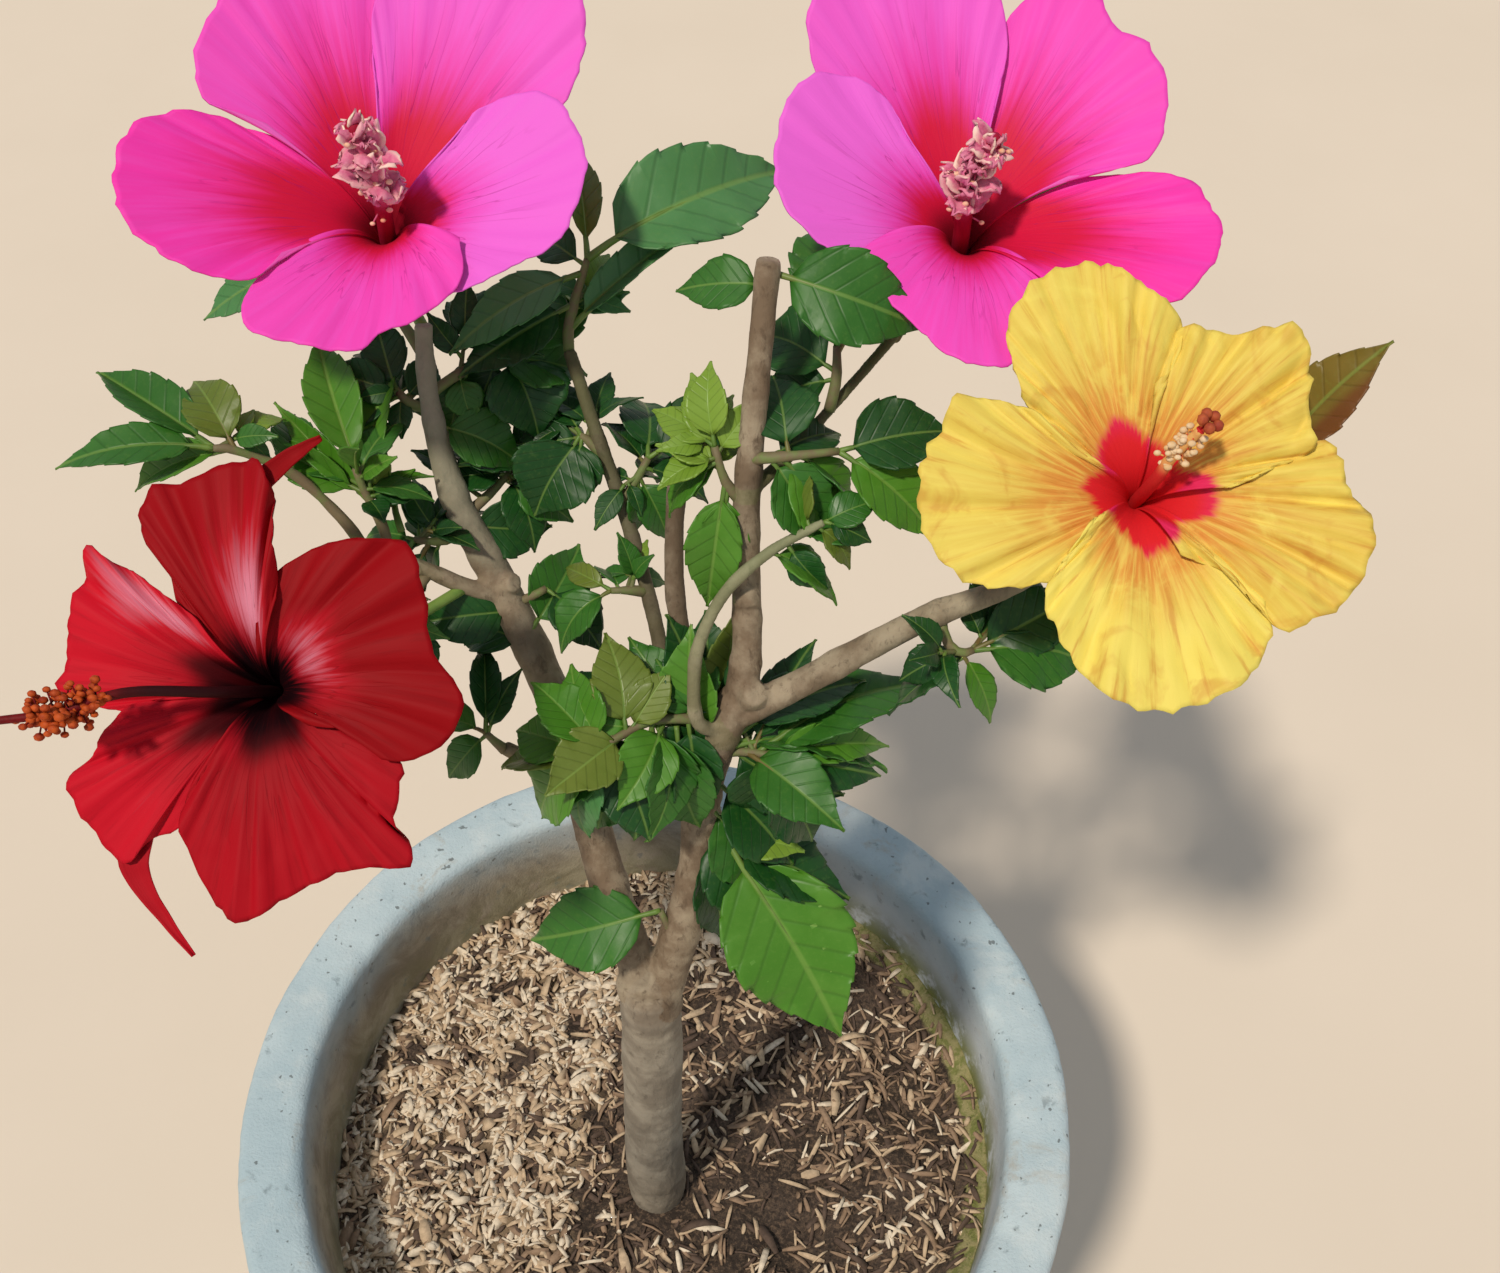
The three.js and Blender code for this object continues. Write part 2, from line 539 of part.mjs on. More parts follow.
function makeBloom(bloom) {
  const frame = bloomFrame(bloom);
  const inFrame = ([x, y, z]) => frame.throat.clone()
    .addScaledVector(frame.right, x)
    .addScaledVector(frame.top, y)
    .addScaledVector(frame.axis, z);
  const petals = bloom.petals.map((petal, order) => (
    sheet(petalSurface(bloom, frame, petal, order), PETAL_STEPS, PETAL_STEPS, PETAL_THICKNESS)));
  const along = (places) => places.map((place3) => inFrame(place3).toArray());
  const foot = -bloom.tube;
  const calyxPath = along([[0, 0, foot - CALYX.below], [0, 0, foot], [0, 0, foot + CALYX.above]]);
  const calyx = limb(calyxPath, CALYX.radii, CALYX.sides);
  const column = limb(along([[0, 0, foot + COLUMN.root], ...bloom.column]), COLUMN.radii, COLUMN.sides);
  const stalk = limb([bloom.stalk, ...along([[0, 0, foot - STALK_UNDER]])], STALK_RADII, TWIG_SIDES);
  const [neck, tip] = bloom.column.slice(-2).map(inFrame);
  const stamens = [];
  for (let i = 0; i < STAMENS.pads; i += 1) {
    const share = i / STAMENS.pads;
    const turn = share * 2 * Math.PI;
    const seat = tip.clone().lerp(neck, STAMENS.spread * (share + 1 / STAMENS.pads));
    seat.addScaledVector(frame.right, STAMENS.out * Math.cos(turn));
    seat.addScaledVector(frame.top, STAMENS.out * Math.sin(turn));
    stamens.push(ball(seat, STAMENS.size));
  }
  const tail = bloom.tail ? [limb(along(bloom.tail), TAIL_RADII, 4)] : [];
  return wasm.Manifold.union([...petals, calyx, column, stalk, ...stamens, ...tail]);
}

// Leaves

// A repeatable stream of numbers from 0 to 1
function stream(seed) {
  let state = seed;
  return () => {
    state = (Math.imul(state, 1664525) + 1013904223) >>> 0;
    return state / 4294967296;
  };
}

function heading(azimuth, rise) {
  const a = THREE.MathUtils.degToRad(azimuth);
  const r = THREE.MathUtils.degToRad(rise);
  return new THREE.Vector3(Math.cos(a) * Math.cos(r), Math.sin(a) * Math.cos(r), Math.sin(r));
}

// Half the width of a leaf for a place along it: a narrow stalk, then an egg-shaped blade
function leafHalfWidth(s, width) {
  const blade = THREE.MathUtils.clamp((s - LEAF_STALK_SHARE) / (1 - LEAF_STALK_SHARE), 0, 1);
  const belly = Math.sin(Math.PI * blade ** LEAF_BELLY) ** LEAF_FULLNESS;
  return Math.max(LEAF_STALK_WIDTH / 2, (width / 2) * belly);
}

// A leaf with its stalk, folded up from the midrib; extra makes it bigger all round
function makeLeaf(root, [azimuth, rise, reach, width], roll, extra = 0) {
  const along = heading(azimuth, rise);
  const light = point(LEAF_LIGHT);
  const face = light.addScaledVector(along, -light.dot(along)).normalize();
  face.applyAxisAngle(along, roll);
  const side = along.clone().cross(face);
  const shape = bare(new THREE.ConeGeometry(1, 1, 4, LEAF_STEPS));
  return solidOf(reshape(shape, (corner) => {
    const s = corner.y + 0.5;
    const half = leafHalfWidth(s, width) + extra;
    const [across, thick] = s < 1 ? [corner.x / (1 - s), corner.z / (1 - s)] : [0, 0];
    const arch = LEAF_ARCH * reach * 4 * s * (1 - s);
    return root.clone()
      .addScaledVector(along, (reach + extra) * s)
      .addScaledVector(side, half * across)
      .addScaledVector(face, arch + LEAF_FOLD * half * Math.abs(across)
        + (LEAF_THICKNESS / 2 + extra) * thick);
  }));
}

// One mass: a stem, its listed leaves, and side shoots with three leaves each. The seeded stream
// rolls every leaf a little and draws the side shoots.
function makeMass(mass, seed) {
  const random = stream(seed);
  const between = (low, high) => THREE.MathUtils.lerp(low, high, random());
  const [x, y, z, radius] = mass.space;
  const middle = new THREE.Vector3(x, y, z);
  const last = mass.stem.length - 1;
  const stemRadii = mass.stem.map((_, i) => THREE.MathUtils.lerp(STEM_RADIUS, STEM_TIP_RADIUS, i / last));
  const curve = new THREE.CatmullRomCurve3(mass.stem.map(point), false, 'catmullrom', 0.5);
  const parts = [limb(mass.stem, stemRadii, TWIG_SIDES)];

  function addLeaf(root, leaf) {
    const [azimuth, rise, reach, width] = leaf;
    const roll = between(-LEAF_ROLL, LEAF_ROLL);
    const along = heading(azimuth, rise);
    if (root.clone().addScaledVector(along, reach).distanceTo(middle) > radius) return;
    const bladeFoot = root.clone().addScaledVector(along, reach * LEAF_STALK_SHARE);
    const blade = [azimuth, rise, reach * (1 - LEAF_STALK_SHARE), width];
    const roomy = makeLeaf(bladeFoot, blade, roll, CLEARANCE);
    if (placed.some((other) => meets(roomy, other.solid))) return;
    parts.push(makeLeaf(root, leaf, roll));
  }

  for (const [at, ...leaf] of mass.leaves) addLeaf(curve.getPoint(at), leaf);
  const { shoots = 0, shootArc } = mass;
  for (let i = 0; i < shoots; i += 1) {
    const azimuth = between(...shootArc);
    const rise = between(...SHOOT.rise);
    const root = curve.getPoint(between(...SHOOT.place));
    const end = root.clone().addScaledVector(heading(azimuth, rise), between(...SHOOT.length));
    const radii = [STEM_TIP_RADIUS, STEM_TIP_RADIUS];
    const shoot = limb([root.toArray(), end.toArray()], radii, SHOOT.sides);
    if (placed.some((other) => meets(shoot, other.solid))) continue;
    parts.push(shoot);
    for (const side of [-1, 0, 1]) {
      const reach = between(...SHOOT_LEAF.reach);
      const seat = side === 0 ? end : root.clone().lerp(end, SHOOT_LEAF.fork);
      const turn = azimuth + SHOOT_LEAF.spread * side;
      addLeaf(seat, [turn, rise - SHOOT_LEAF.droop, reach, SHOOT_LEAF.slim * reach]);
    }
  }
  return wasm.Manifold.union(parts);
}

// Everything in its place

place('pot', makePot(), FINISHES.pot);
place('soil', makeSoil(), FINISHES.soil, makeSoil(CLEARANCE));
for (const [name, { path, radii }] of Object.entries(LIMBS)) {
  const isTrunk = name === 'trunk';
  const sides = isTrunk ? TRUNK_SIDES : LIMB_SIDES;
  const finish = isTrunk ? FINISHES.trunk : FINISHES.bough;
  place(name, limb(path, radii, sides), finish, limb(path, radii, sides, CLEARANCE));
}
for (const [name, bloom] of Object.entries(BLOOMS)) {
  place(name, makeBloom(bloom), { color: bloom.color, roughness: PETAL_ROUGHNESS });
}
Object.entries(MASSES).forEach(([name, mass], i) => {
  const color = LEAF_COLORS[i % LEAF_COLORS.length];
  place(name, makeMass(mass, MASS_SEED + i), { color, roughness: LEAF_ROUGHNESS });
});

// The scene graph

const shrub = new THREE.Group();
for (const { name, solid, finish } of placed) {
  const { vertProperties, triVerts } = solid.getMesh();
  const geometry = new THREE.BufferGeometry();
  geometry.setAttribute('position', new THREE.BufferAttribute(vertProperties, 3));
  geometry.setIndex(new THREE.BufferAttribute(triVerts, 1));
  const mesh = new THREE.Mesh(geometry, new THREE.MeshStandardMaterial({ metalness: 0, ...finish }));
  mesh.name = name;
  shrub.add(mesh);
}

export default shrub;
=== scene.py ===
import math

import bpy
import numpy as np
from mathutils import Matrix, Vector, kdtree, noise


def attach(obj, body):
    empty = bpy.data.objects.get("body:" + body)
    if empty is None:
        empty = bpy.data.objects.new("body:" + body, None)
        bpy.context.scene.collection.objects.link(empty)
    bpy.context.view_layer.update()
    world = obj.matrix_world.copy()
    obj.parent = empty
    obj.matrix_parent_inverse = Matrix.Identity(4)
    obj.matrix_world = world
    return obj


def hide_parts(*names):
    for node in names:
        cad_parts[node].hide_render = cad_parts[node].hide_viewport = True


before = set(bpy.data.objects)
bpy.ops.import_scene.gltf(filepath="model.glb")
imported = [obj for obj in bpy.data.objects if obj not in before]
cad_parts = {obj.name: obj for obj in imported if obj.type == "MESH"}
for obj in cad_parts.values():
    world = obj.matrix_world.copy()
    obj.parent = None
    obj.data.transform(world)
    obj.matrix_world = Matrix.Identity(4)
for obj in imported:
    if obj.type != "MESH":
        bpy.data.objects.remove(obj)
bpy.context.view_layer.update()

# A grafted hibiscus shrub in its cement pot. Places and sizes are in millimetres from the middle of
# the pot's underside, seen from the front along +Y, and the piece makers turn them into metres.

mm = 0.001


# Lines, sheets and gathered meshes

def unit(v):
    v = np.asarray(v, float)
    return v / np.maximum(np.linalg.norm(v, axis=-1, keepdims=True), 1e-9)


def ease(x, low, high):
    t = np.clip((np.asarray(x, float) - low) / (high - low), 0, 1)
    return t * t * (3 - 2 * t)


def curveAt(points, t):
    p = np.asarray(points, float)
    p = np.vstack([2 * p[0] - p[1], p, 2 * p[-1] - p[-2]])
    place = np.clip(np.atleast_1d(np.asarray(t, float)), 0, 1) * (len(points) - 1)
    i = np.minimum(place.astype(int), len(points) - 2)
    f = (place - i)[:, None]
    a, b, c, d = p[i], p[i + 1], p[i + 2], p[i + 3]
    return (b + 0.5 * f * (c - a) + f**2 * (a - 2.5 * b + 2 * c - 0.5 * d)
            + f**3 * (1.5 * (b - c) + 0.5 * (d - a)))


def lineLength(points):
    return float(np.linalg.norm(np.diff(np.asarray(points, float), axis=0), axis=1).sum())


# A smooth made-up wave along x, different for each seed
def waver(x, seed, waves=4):
    rng = np.random.RandomState(seed)
    x = np.asarray(x, float)
    total = np.zeros_like(x)
    for k in range(1, waves + 1):
        total += np.sin(x * k * rng.uniform(0.7, 1.3) + rng.uniform(0, 6.28)) / k
    return total / 1.6


def lumps(points, size, octaves=3):
    return np.array([noise.fractal(Vector(p) / size, 0.8, 2.1, octaves) for p in points])


def turns(count):
    return np.arange(count) / count * 2 * math.pi


def onRings(r, turn, z):
    return np.stack(np.broadcast_arrays(r * np.cos(turn), r * np.sin(turn), z), -1)


def spread(u, v):
    return np.stack(np.broadcast_arrays(u, v), -1)


def heading(azimuth, rise):
    a, r = math.radians(azimuth), math.radians(rise)
    return np.array([math.cos(a) * math.cos(r), math.sin(a) * math.cos(r), math.sin(r)])


# A direction square to along, turned about it
def rolled(along, side, roll):
    return side * math.cos(roll) + np.cross(along, side) * math.sin(roll)


# Points given by their measures along three directions from a root
def laid(root, axes, *measures):
    return np.asarray(root, float) + np.stack(np.broadcast_arrays(*measures), -1) @ np.array(axes)


def gridFaces(rows, cols, around=False):
    i, j = np.meshgrid(np.arange(rows - 1), np.arange(cols if around else cols - 1), indexing="ij")
    k = (j + 1) % cols
    return np.stack([i * cols + j, (i + 1) * cols + j, (i + 1) * cols + k, i * cols + k], -1).reshape(-1, 4)


# Faces of a thin closed sheet: the grid, its back, and the strip round its edge
def sheetFaces(rows, cols):
    n = rows * cols
    top = gridFaces(rows, cols)
    at = np.arange(n).reshape(rows, cols)
    loop = np.concatenate([at[:, 0], at[-1, 1:], at[-2::-1, -1], at[0, -2:0:-1]])
    ahead = np.roll(loop, -1)
    edge = np.stack([ahead, loop, loop + n, ahead + n], -1)
    return np.vstack([top, top[:, ::-1] + n, edge])


def sheetNormals(p):
    return unit(np.cross(np.gradient(p, axis=0), np.gradient(p, axis=1)))


# Many small parts gathered into one mesh
class Gather:
    def __init__(self):
        self.verts, self.faces, self.sides = [], [], []
        self.places, self.shades, self.tints = [], [], []
        self.count = 0

    def add(self, verts, faces, places=None, shade=0.5, sides=None, caps=(), tint=0.5):
        verts = np.asarray(verts, float).reshape(-1, 3)
        n = len(verts)
        self.verts.append(verts)
        self.faces += (np.asarray(faces) + self.count).tolist()
        self.faces += [[c + self.count for c in cap] for cap in caps]
        self.places.append(np.zeros((n, 2)) if places is None else np.asarray(places, float).reshape(-1, 2))
        self.shades.append(np.broadcast_to(np.asarray(shade, float).reshape(-1), (n,)))
        self.tints.append(np.full(n, float(tint)))
        self.sides += [0] * (len(faces) + len(caps)) if sides is None else list(sides)
        self.count += n

    def sheet(self, p, thick, places, shade=0.5, under=1, tint=0.5):
        rows, cols = p.shape[:2]
        out = sheetNormals(p) * thick / 2
        faces = sheetFaces(rows, cols)
        quads = (rows - 1) * (cols - 1)
        sides = [0] * quads + [under] * quads + [0] * (len(faces) - 2 * quads)
        both = np.concatenate([p + out, p - out]).reshape(-1, 3)
        shades = np.tile(np.broadcast_to(shade, (rows, cols)).reshape(-1), 2)
        self.add(both, faces, np.tile(places.reshape(-1, 2), (2, 1)), shades, sides, tint=tint)

    # A surface closed round its rings and at both ends
    def ringed(self, p, places=None, shade=0.5, flip=False):
        rows, cols = p.shape[:2]
        faces = gridFaces(rows, cols, around=True)
        caps = [list(range(cols)), list(range((rows - 1) * cols, rows * cols))[::-1]]
        if flip:
            faces, caps = faces[:, ::-1], [cap[::-1] for cap in caps]
        self.add(p, faces, places, shade, caps=caps)

    def tube(self, line, radii, sides, shade=0.5):
        line = np.asarray(line, float)
        along = unit(np.gradient(line, axis=0))
        across = np.array([0.0, 1, 0]) if abs(along[0, 0]) > 0.9 else np.array([1.0, 0, 0])
        turn = turns(sides)[:, None]
        rings = []
        for here, way, r in zip(line, along, np.broadcast_to(radii, (len(line),))):
            across = unit(across - way * across.dot(way))
            rings.append(here + r * (np.cos(turn) * across + np.sin(turn) * np.cross(way, across)))
        places = spread(np.arange(sides) / sides, np.linspace(0, 1, len(line))[:, None])
        self.ringed(np.array(rings), places, shade, flip=True)

    def ball(self, middle, size, stretch=(1, 1, 1), shade=0.5, rows=6, cols=8):
        up = np.linspace(0.12, math.pi - 0.12, rows)[:, None]
        p = onRings(np.sin(up), turns(cols), np.cos(up))
        self.ringed(np.asarray(middle) + p * size * np.asarray(stretch), shade=shade)


def addValues(mesh, name, values):
    layer = mesh.attributes.get(name) or mesh.attributes.new(name, "FLOAT", "POINT")
    layer.data.foreach_set("value", np.asarray(values).astype(np.float32))


def newMesh(name, parts, finishes=()):
    mesh = bpy.data.meshes.new(name)
    mesh.from_pydata((np.concatenate(parts.verts) * mm).tolist(), [], parts.faces)
    for finish in finishes:
        mesh.materials.append(finish)
    if finishes:
        sides = np.minimum(parts.sides, len(finishes) - 1).astype(np.int32)
        mesh.polygons.foreach_set("material_index", sides)
    mesh.polygons.foreach_set("use_smooth", np.ones(len(mesh.polygons), bool))
    corner = np.empty(len(mesh.loops), np.int32)
    mesh.loops.foreach_get("vertex_index", corner)
    layer = mesh.uv_layers.new(name="place")
    layer.data.foreach_set("uv", np.concatenate(parts.places)[corner].astype(np.float32).ravel())
    addValues(mesh, "shade", np.concatenate(parts.shades))
    addValues(mesh, "tint", np.concatenate(parts.tints))
    mesh.update()
    return mesh


def meshValues(mesh, name):
    values = np.empty(len(mesh.vertices) * 3)
    mesh.vertices.foreach_get(name, values)
    return values.reshape(-1, 3)


def stand(name, data):
    item = bpy.data.objects.new(name, data)
    bpy.context.scene.collection.objects.link(item)
    return item


# The mesh with modifiers worked in, each given as its kind and settings
def worked(mesh, finish, *modifiers):
    holder = stand("holder", mesh)
    for kind, settings in modifiers:
        modifier = holder.modifiers.new(kind.lower(), kind)
        for key, value in settings.items():
            setattr(modifier, key, value)
    graph = bpy.context.evaluated_depsgraph_get()
    made = bpy.data.meshes.new_from_object(holder.evaluated_get(graph))
    bpy.data.objects.remove(holder)
    made.materials.clear()
    made.materials.append(finish)
    return made


def addPiece(name, mesh, nodes=()):
    piece = stand(name, mesh)
    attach(piece, "root")
    if nodes:
        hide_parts(*nodes)
    print("made", name, len(mesh.polygons), "faces")


def newPiece(name, parts, finishes, nodes=()):
    addPiece(name, newMesh(name, parts, finishes), nodes)


# Finishes

def paint(hexColour):
    values = [int(hexColour[i:i + 2], 16) / 255 for i in (0, 2, 4)]
    return [v / 12.92 if v <= 0.04045 else ((v + 0.055) / 1.055) ** 2.4 for v in values] + [1.0]


def dimmed(colour, share):
    return [share * c for c in paint(colour)[:3]] + [1.0]


class Finish:
    def __init__(self, name, **sockets):
        self.material = bpy.data.materials.new(name)
        self.material.use_nodes = True
        self.shader = self.material.node_tree.nodes["Principled BSDF"]
        self.placed = {}
        for socket, value in sockets.items():
            self.shader.inputs[socket.replace("_", " ")].default_value = value

    def plug(self, value, socket):
        if isinstance(value, bpy.types.NodeSocket):
            self.material.node_tree.links.new(value, socket)
        else:
            socket.default_value = value

    def put(self, kind, plugs=None, **settings):
        made = self.material.node_tree.nodes.new("ShaderNode" + kind)
        for key, value in settings.items():
            setattr(made, key, value)
        for key, value in (plugs or {}).items():
            self.plug(value, made.inputs[key])
        return made

    def sums(self, operation, a, b=0.0, c=0.0):
        return self.put("Math", {0: a, 1: b, 2: c}, operation=operation).outputs[0]

    def times(self, a, b):
        return self.sums("MULTIPLY", a, b)

    def between(self, value, low, high, toLow=0.0, toHigh=1.0):
        plugs = {0: value, 1: low, 2: high, 3: toLow, 4: toHigh}
        return self.put("MapRange", plugs, interpolation_type="SMOOTHSTEP", clamp=True).outputs[0]

    def blend(self, share, a, b):
        a, b = [paint(colour) if isinstance(colour, str) else colour for colour in (a, b)]
        return self.put("Mix", {0: share, 6: a, 7: b}, data_type="RGBA").outputs[2]

    # Colours laid over one another: each comes in as its value runs from low to high, up to a share
    def layers(self, colour, *rows):
        for value, low, high, share, over in rows:
            colour = self.blend(self.between(value, low, high, 0, share), colour, over)
        return colour

    def objectPlace(self, stretch=(1, 1, 1)):
        if stretch not in self.placed:
            where = self.put("TexCoord").outputs["Object"]
            self.placed[stretch] = self.put("Mapping", {0: where, 3: stretch}).outputs[0]
        return self.placed[stretch]

    # A soft random pattern from 0 to 1; grain is the size of its spots in millimetres
    def mottle(self, grain, detail=4.0, rough=0.55, warp=0.0, stretch=(1, 1, 1), where=None):
        plugs = {"Vector": self.objectPlace(stretch) if where is None else where,
                 "Scale": 1 / (grain * mm), "Detail": detail, "Roughness": rough, "Distortion": warp}
        return self.put("TexNoise", plugs).outputs["Fac"]

    def ownPlace(self):
        parted = self.put("SeparateXYZ", {0: self.put("UVMap", uv_map="place").outputs[0]})
        return parted.outputs[0], parted.outputs[1]

    def ownShade(self, name="shade"):
        return self.put("Attribute", attribute_name=name).outputs["Fac"]

    # Thin lines where the value passes each whole number
    def lines(self, value, width):
        off = self.sums("ABSOLUTE", self.sums("SUBTRACT", self.sums("FRACT", value), 0.5))
        return self.between(off, 0.5 - width, 0.5)

    def done(self, colour, bumps=None, strength=0.4, depth=0.4, roughness=None):
        self.plug(colour, self.shader.inputs["Base Color"])
        if roughness is not None:
            self.plug(roughness, self.shader.inputs["Roughness"])
        if bumps is not None:
            bump = self.put("Bump", {"Height": bumps, "Strength": strength, "Distance": depth * mm})
            self.plug(bump.outputs[0], self.shader.inputs["Normal"])
        return self.material


# Camera, floor and light

view = {
    "place": (41, -296, 955),
    "down": 50,  # degrees
    "lens": 38.4,  # on a 36 mm wide picture
    "sunFrom": (-0.305, -0.404, 0.862),
    "sun": 2.65,
    "sunSoftness": 5,  # degrees
    "sky": 0.45,
    "skyColour": "e3ebf5",
    "sunColour": "fff4e4",
    "floor": ("e1d3c2", "d8cab8"),
    "floorHalf": 6,  # metres
}


def setView():
    camera = stand("camera", bpy.data.cameras.new("camera"))
    camera.data.sensor_width = 36
    camera.data.sensor_fit = "HORIZONTAL"
    camera.data.lens = view["lens"]
    camera.data.clip_start = 0.02
    camera.location = Vector(view["place"]) * mm
    camera.rotation_euler = (math.radians(90 - view["down"]), 0, 0)
    bpy.context.scene.camera = camera

    lamp = bpy.data.lights.new("sun", "SUN")
    lamp.energy = view["sun"]
    lamp.angle = math.radians(view["sunSoftness"])
    lamp.color = paint(view["sunColour"])[:3]
    sun = stand("sun", lamp)
    sun.rotation_euler = Vector(view["sunFrom"]).to_track_quat("Z", "Y").to_euler()

    world = bpy.data.worlds.new("studio")
    world.use_nodes = True
    sky = world.node_tree.nodes["Background"]
    sky.inputs[0].default_value = paint(view["skyColour"])
    sky.inputs[1].default_value = view["sky"]
    bpy.context.scene.world = world
    bpy.context.scene.view_settings.view_transform = "Standard"

    floorMesh = bpy.data.meshes.new("floor")
    far = view["floorHalf"]
    corners = [(-far, -far, 0), (far, -far, 0), (far, far, 0), (-far, far, 0)]
    floorMesh.from_pydata(corners, [], [(0, 1, 2, 3)])
    f = Finish("paleFloor", Roughness=0.9)
    floorMesh.materials.append(f.done(f.blend(f.mottle(300), *view["floor"])))
    stand("floor", floorMesh)
    print("view set")


setView()


# Pot

pot = {
    "rim": 180, "wall": 27, "height": 290, "foot": 122, "floor": 28, "band": 46, "bandStep": 8,
    "belly": 0.62, "soilBelow": 58, "drain": 8, "drainCircle": 55, "drains": 3, "hub": 80,
    "sides": 264, "step": 6,  # of the turned surface
    "wobble": 0.9, "wobbleSize": 60, "grain": 0.3, "grainSize": 4,
    "pits": 90, "pitSize": (1.2, 4), "pitDepth": 0.5, "pitsOnRim": 0.7, "pitHeights": (40, 280), "seed": 7,
    "paint": "a7bbc3", "paintPale": "bdccd1", "stain": "66747a", "inside": "b3a893", "insideDark": "877c69",
    # the limewash colour is real whitewash on the right inner wall, painted paler than the rim to stand in
    # for the sunlight there
    "moss": "7a7f44", "bare": "a49c8d", "chalk": "ccd4d4", "speck": "565c5c", "limewashLit": "cfd6d8",
    # where the finishes change, in millimetres
    "streakHeights": (50, 240), "innerRadii": (153.5, 150.5), "innerHeights": (200, 210),
    "limeLitSide": (30, 110), "mossHeights": (268, 240), "mossSide": (-20, 130),
}
soilTop = pot["height"] - pot["soilBelow"]


# The turned outline, each corner with how far it is rounded
def potOutline():
    inner = pot["rim"] - pot["wall"]
    bandFoot = pot["height"] - pot["band"]
    back = pot["rim"] - pot["bandStep"]
    swell = pot["foot"] + (back - pot["foot"]) * pot["belly"]
    corners = [
        (pot["hub"], 0, 0), (pot["foot"], 0, 4), (swell, bandFoot / 2, 30), (back - 3, bandFoot, 3),
        (pot["rim"], bandFoot + 3, 4), (pot["rim"], pot["height"], 5), (inner, pot["height"], 7),
        (inner - 4, soilTop, 5), (pot["foot"] - pot["wall"], pot["floor"], 10), (pot["hub"], pot["floor"], 0),
    ]
    line = []
    for i, (r, z, soft) in enumerate(corners):
        here = np.array([r, z], float)
        if not soft:
            line.append(here)
            continue
        a = here + unit(np.array(corners[i - 1][:2]) - here) * soft
        b = here + unit(np.array(corners[i + 1][:2]) - here) * soft
        line += [(1 - t) ** 2 * a + 2 * t * (1 - t) * here + t * t * b for t in np.linspace(0, 1, 5)]
    outline = [line[0]]
    for a, b in zip(line[:-1], line[1:]):
        n = max(1, int(np.linalg.norm(b - a) / pot["step"]))
        outline += [a + (b - a) * (k + 1) / n for k in range(n)]
    return np.array(outline)


def makePot():
    outline = potOutline()
    p = onRings(outline[:, :1], turns(pot["sides"]), outline[:, 1:])
    flat = p.reshape(-1, 3)
    push = pot["wobble"] * lumps(flat, pot["wobbleSize"], 2) + pot["grain"] * lumps(flat, pot["grainSize"], 3)
    # small pits and chips, most of them on the rim
    rng = np.random.RandomState(pot["seed"])
    for _ in range(pot["pits"]):
        a = rng.uniform(0, 6.28)
        spot = np.array([pot["rim"] * math.cos(a), pot["rim"] * math.sin(a), pot["height"]])
        if rng.rand() < pot["pitsOnRim"]:
            spot[:2] *= rng.uniform(0.87, 1.0)
        else:
            spot[2] = rng.uniform(*pot["pitHeights"])
            spot[:2] *= 0.93
        size = rng.uniform(*pot["pitSize"])
        push -= pot["pitDepth"] * size * np.exp(-((flat - spot) ** 2).sum(1) / size**2)
    out = -sheetNormals(np.concatenate([p[:, -1:], p, p[:, :1]], 1))[:, 1:-1]
    moved = (outline[:, 1] > 1)[:, None] & (outline[:, 0] > pot["hub"] + 1)[:, None]
    parts = Gather()
    parts.ringed(p + out * (push.reshape(len(outline), -1) * moved)[..., None], flip=True)
    holes = Gather()
    for a in turns(pot["drains"]):
        x, y = pot["drainCircle"] * math.cos(a), pot["drainCircle"] * math.sin(a)
        holes.tube([(x, y, -9), (x, y, 60)], pot["drain"], 32)
    cutter = stand("drainCutter", newMesh("drainCutter", holes))
    cut = ("BOOLEAN", {"operation": "DIFFERENCE", "object": cutter, "solver": "EXACT"})
    mesh = worked(newMesh("cementPot", parts), potFinish(), cut)
    bpy.data.objects.remove(cutter)
    addPiece("cementPot", mesh, ["pot"])


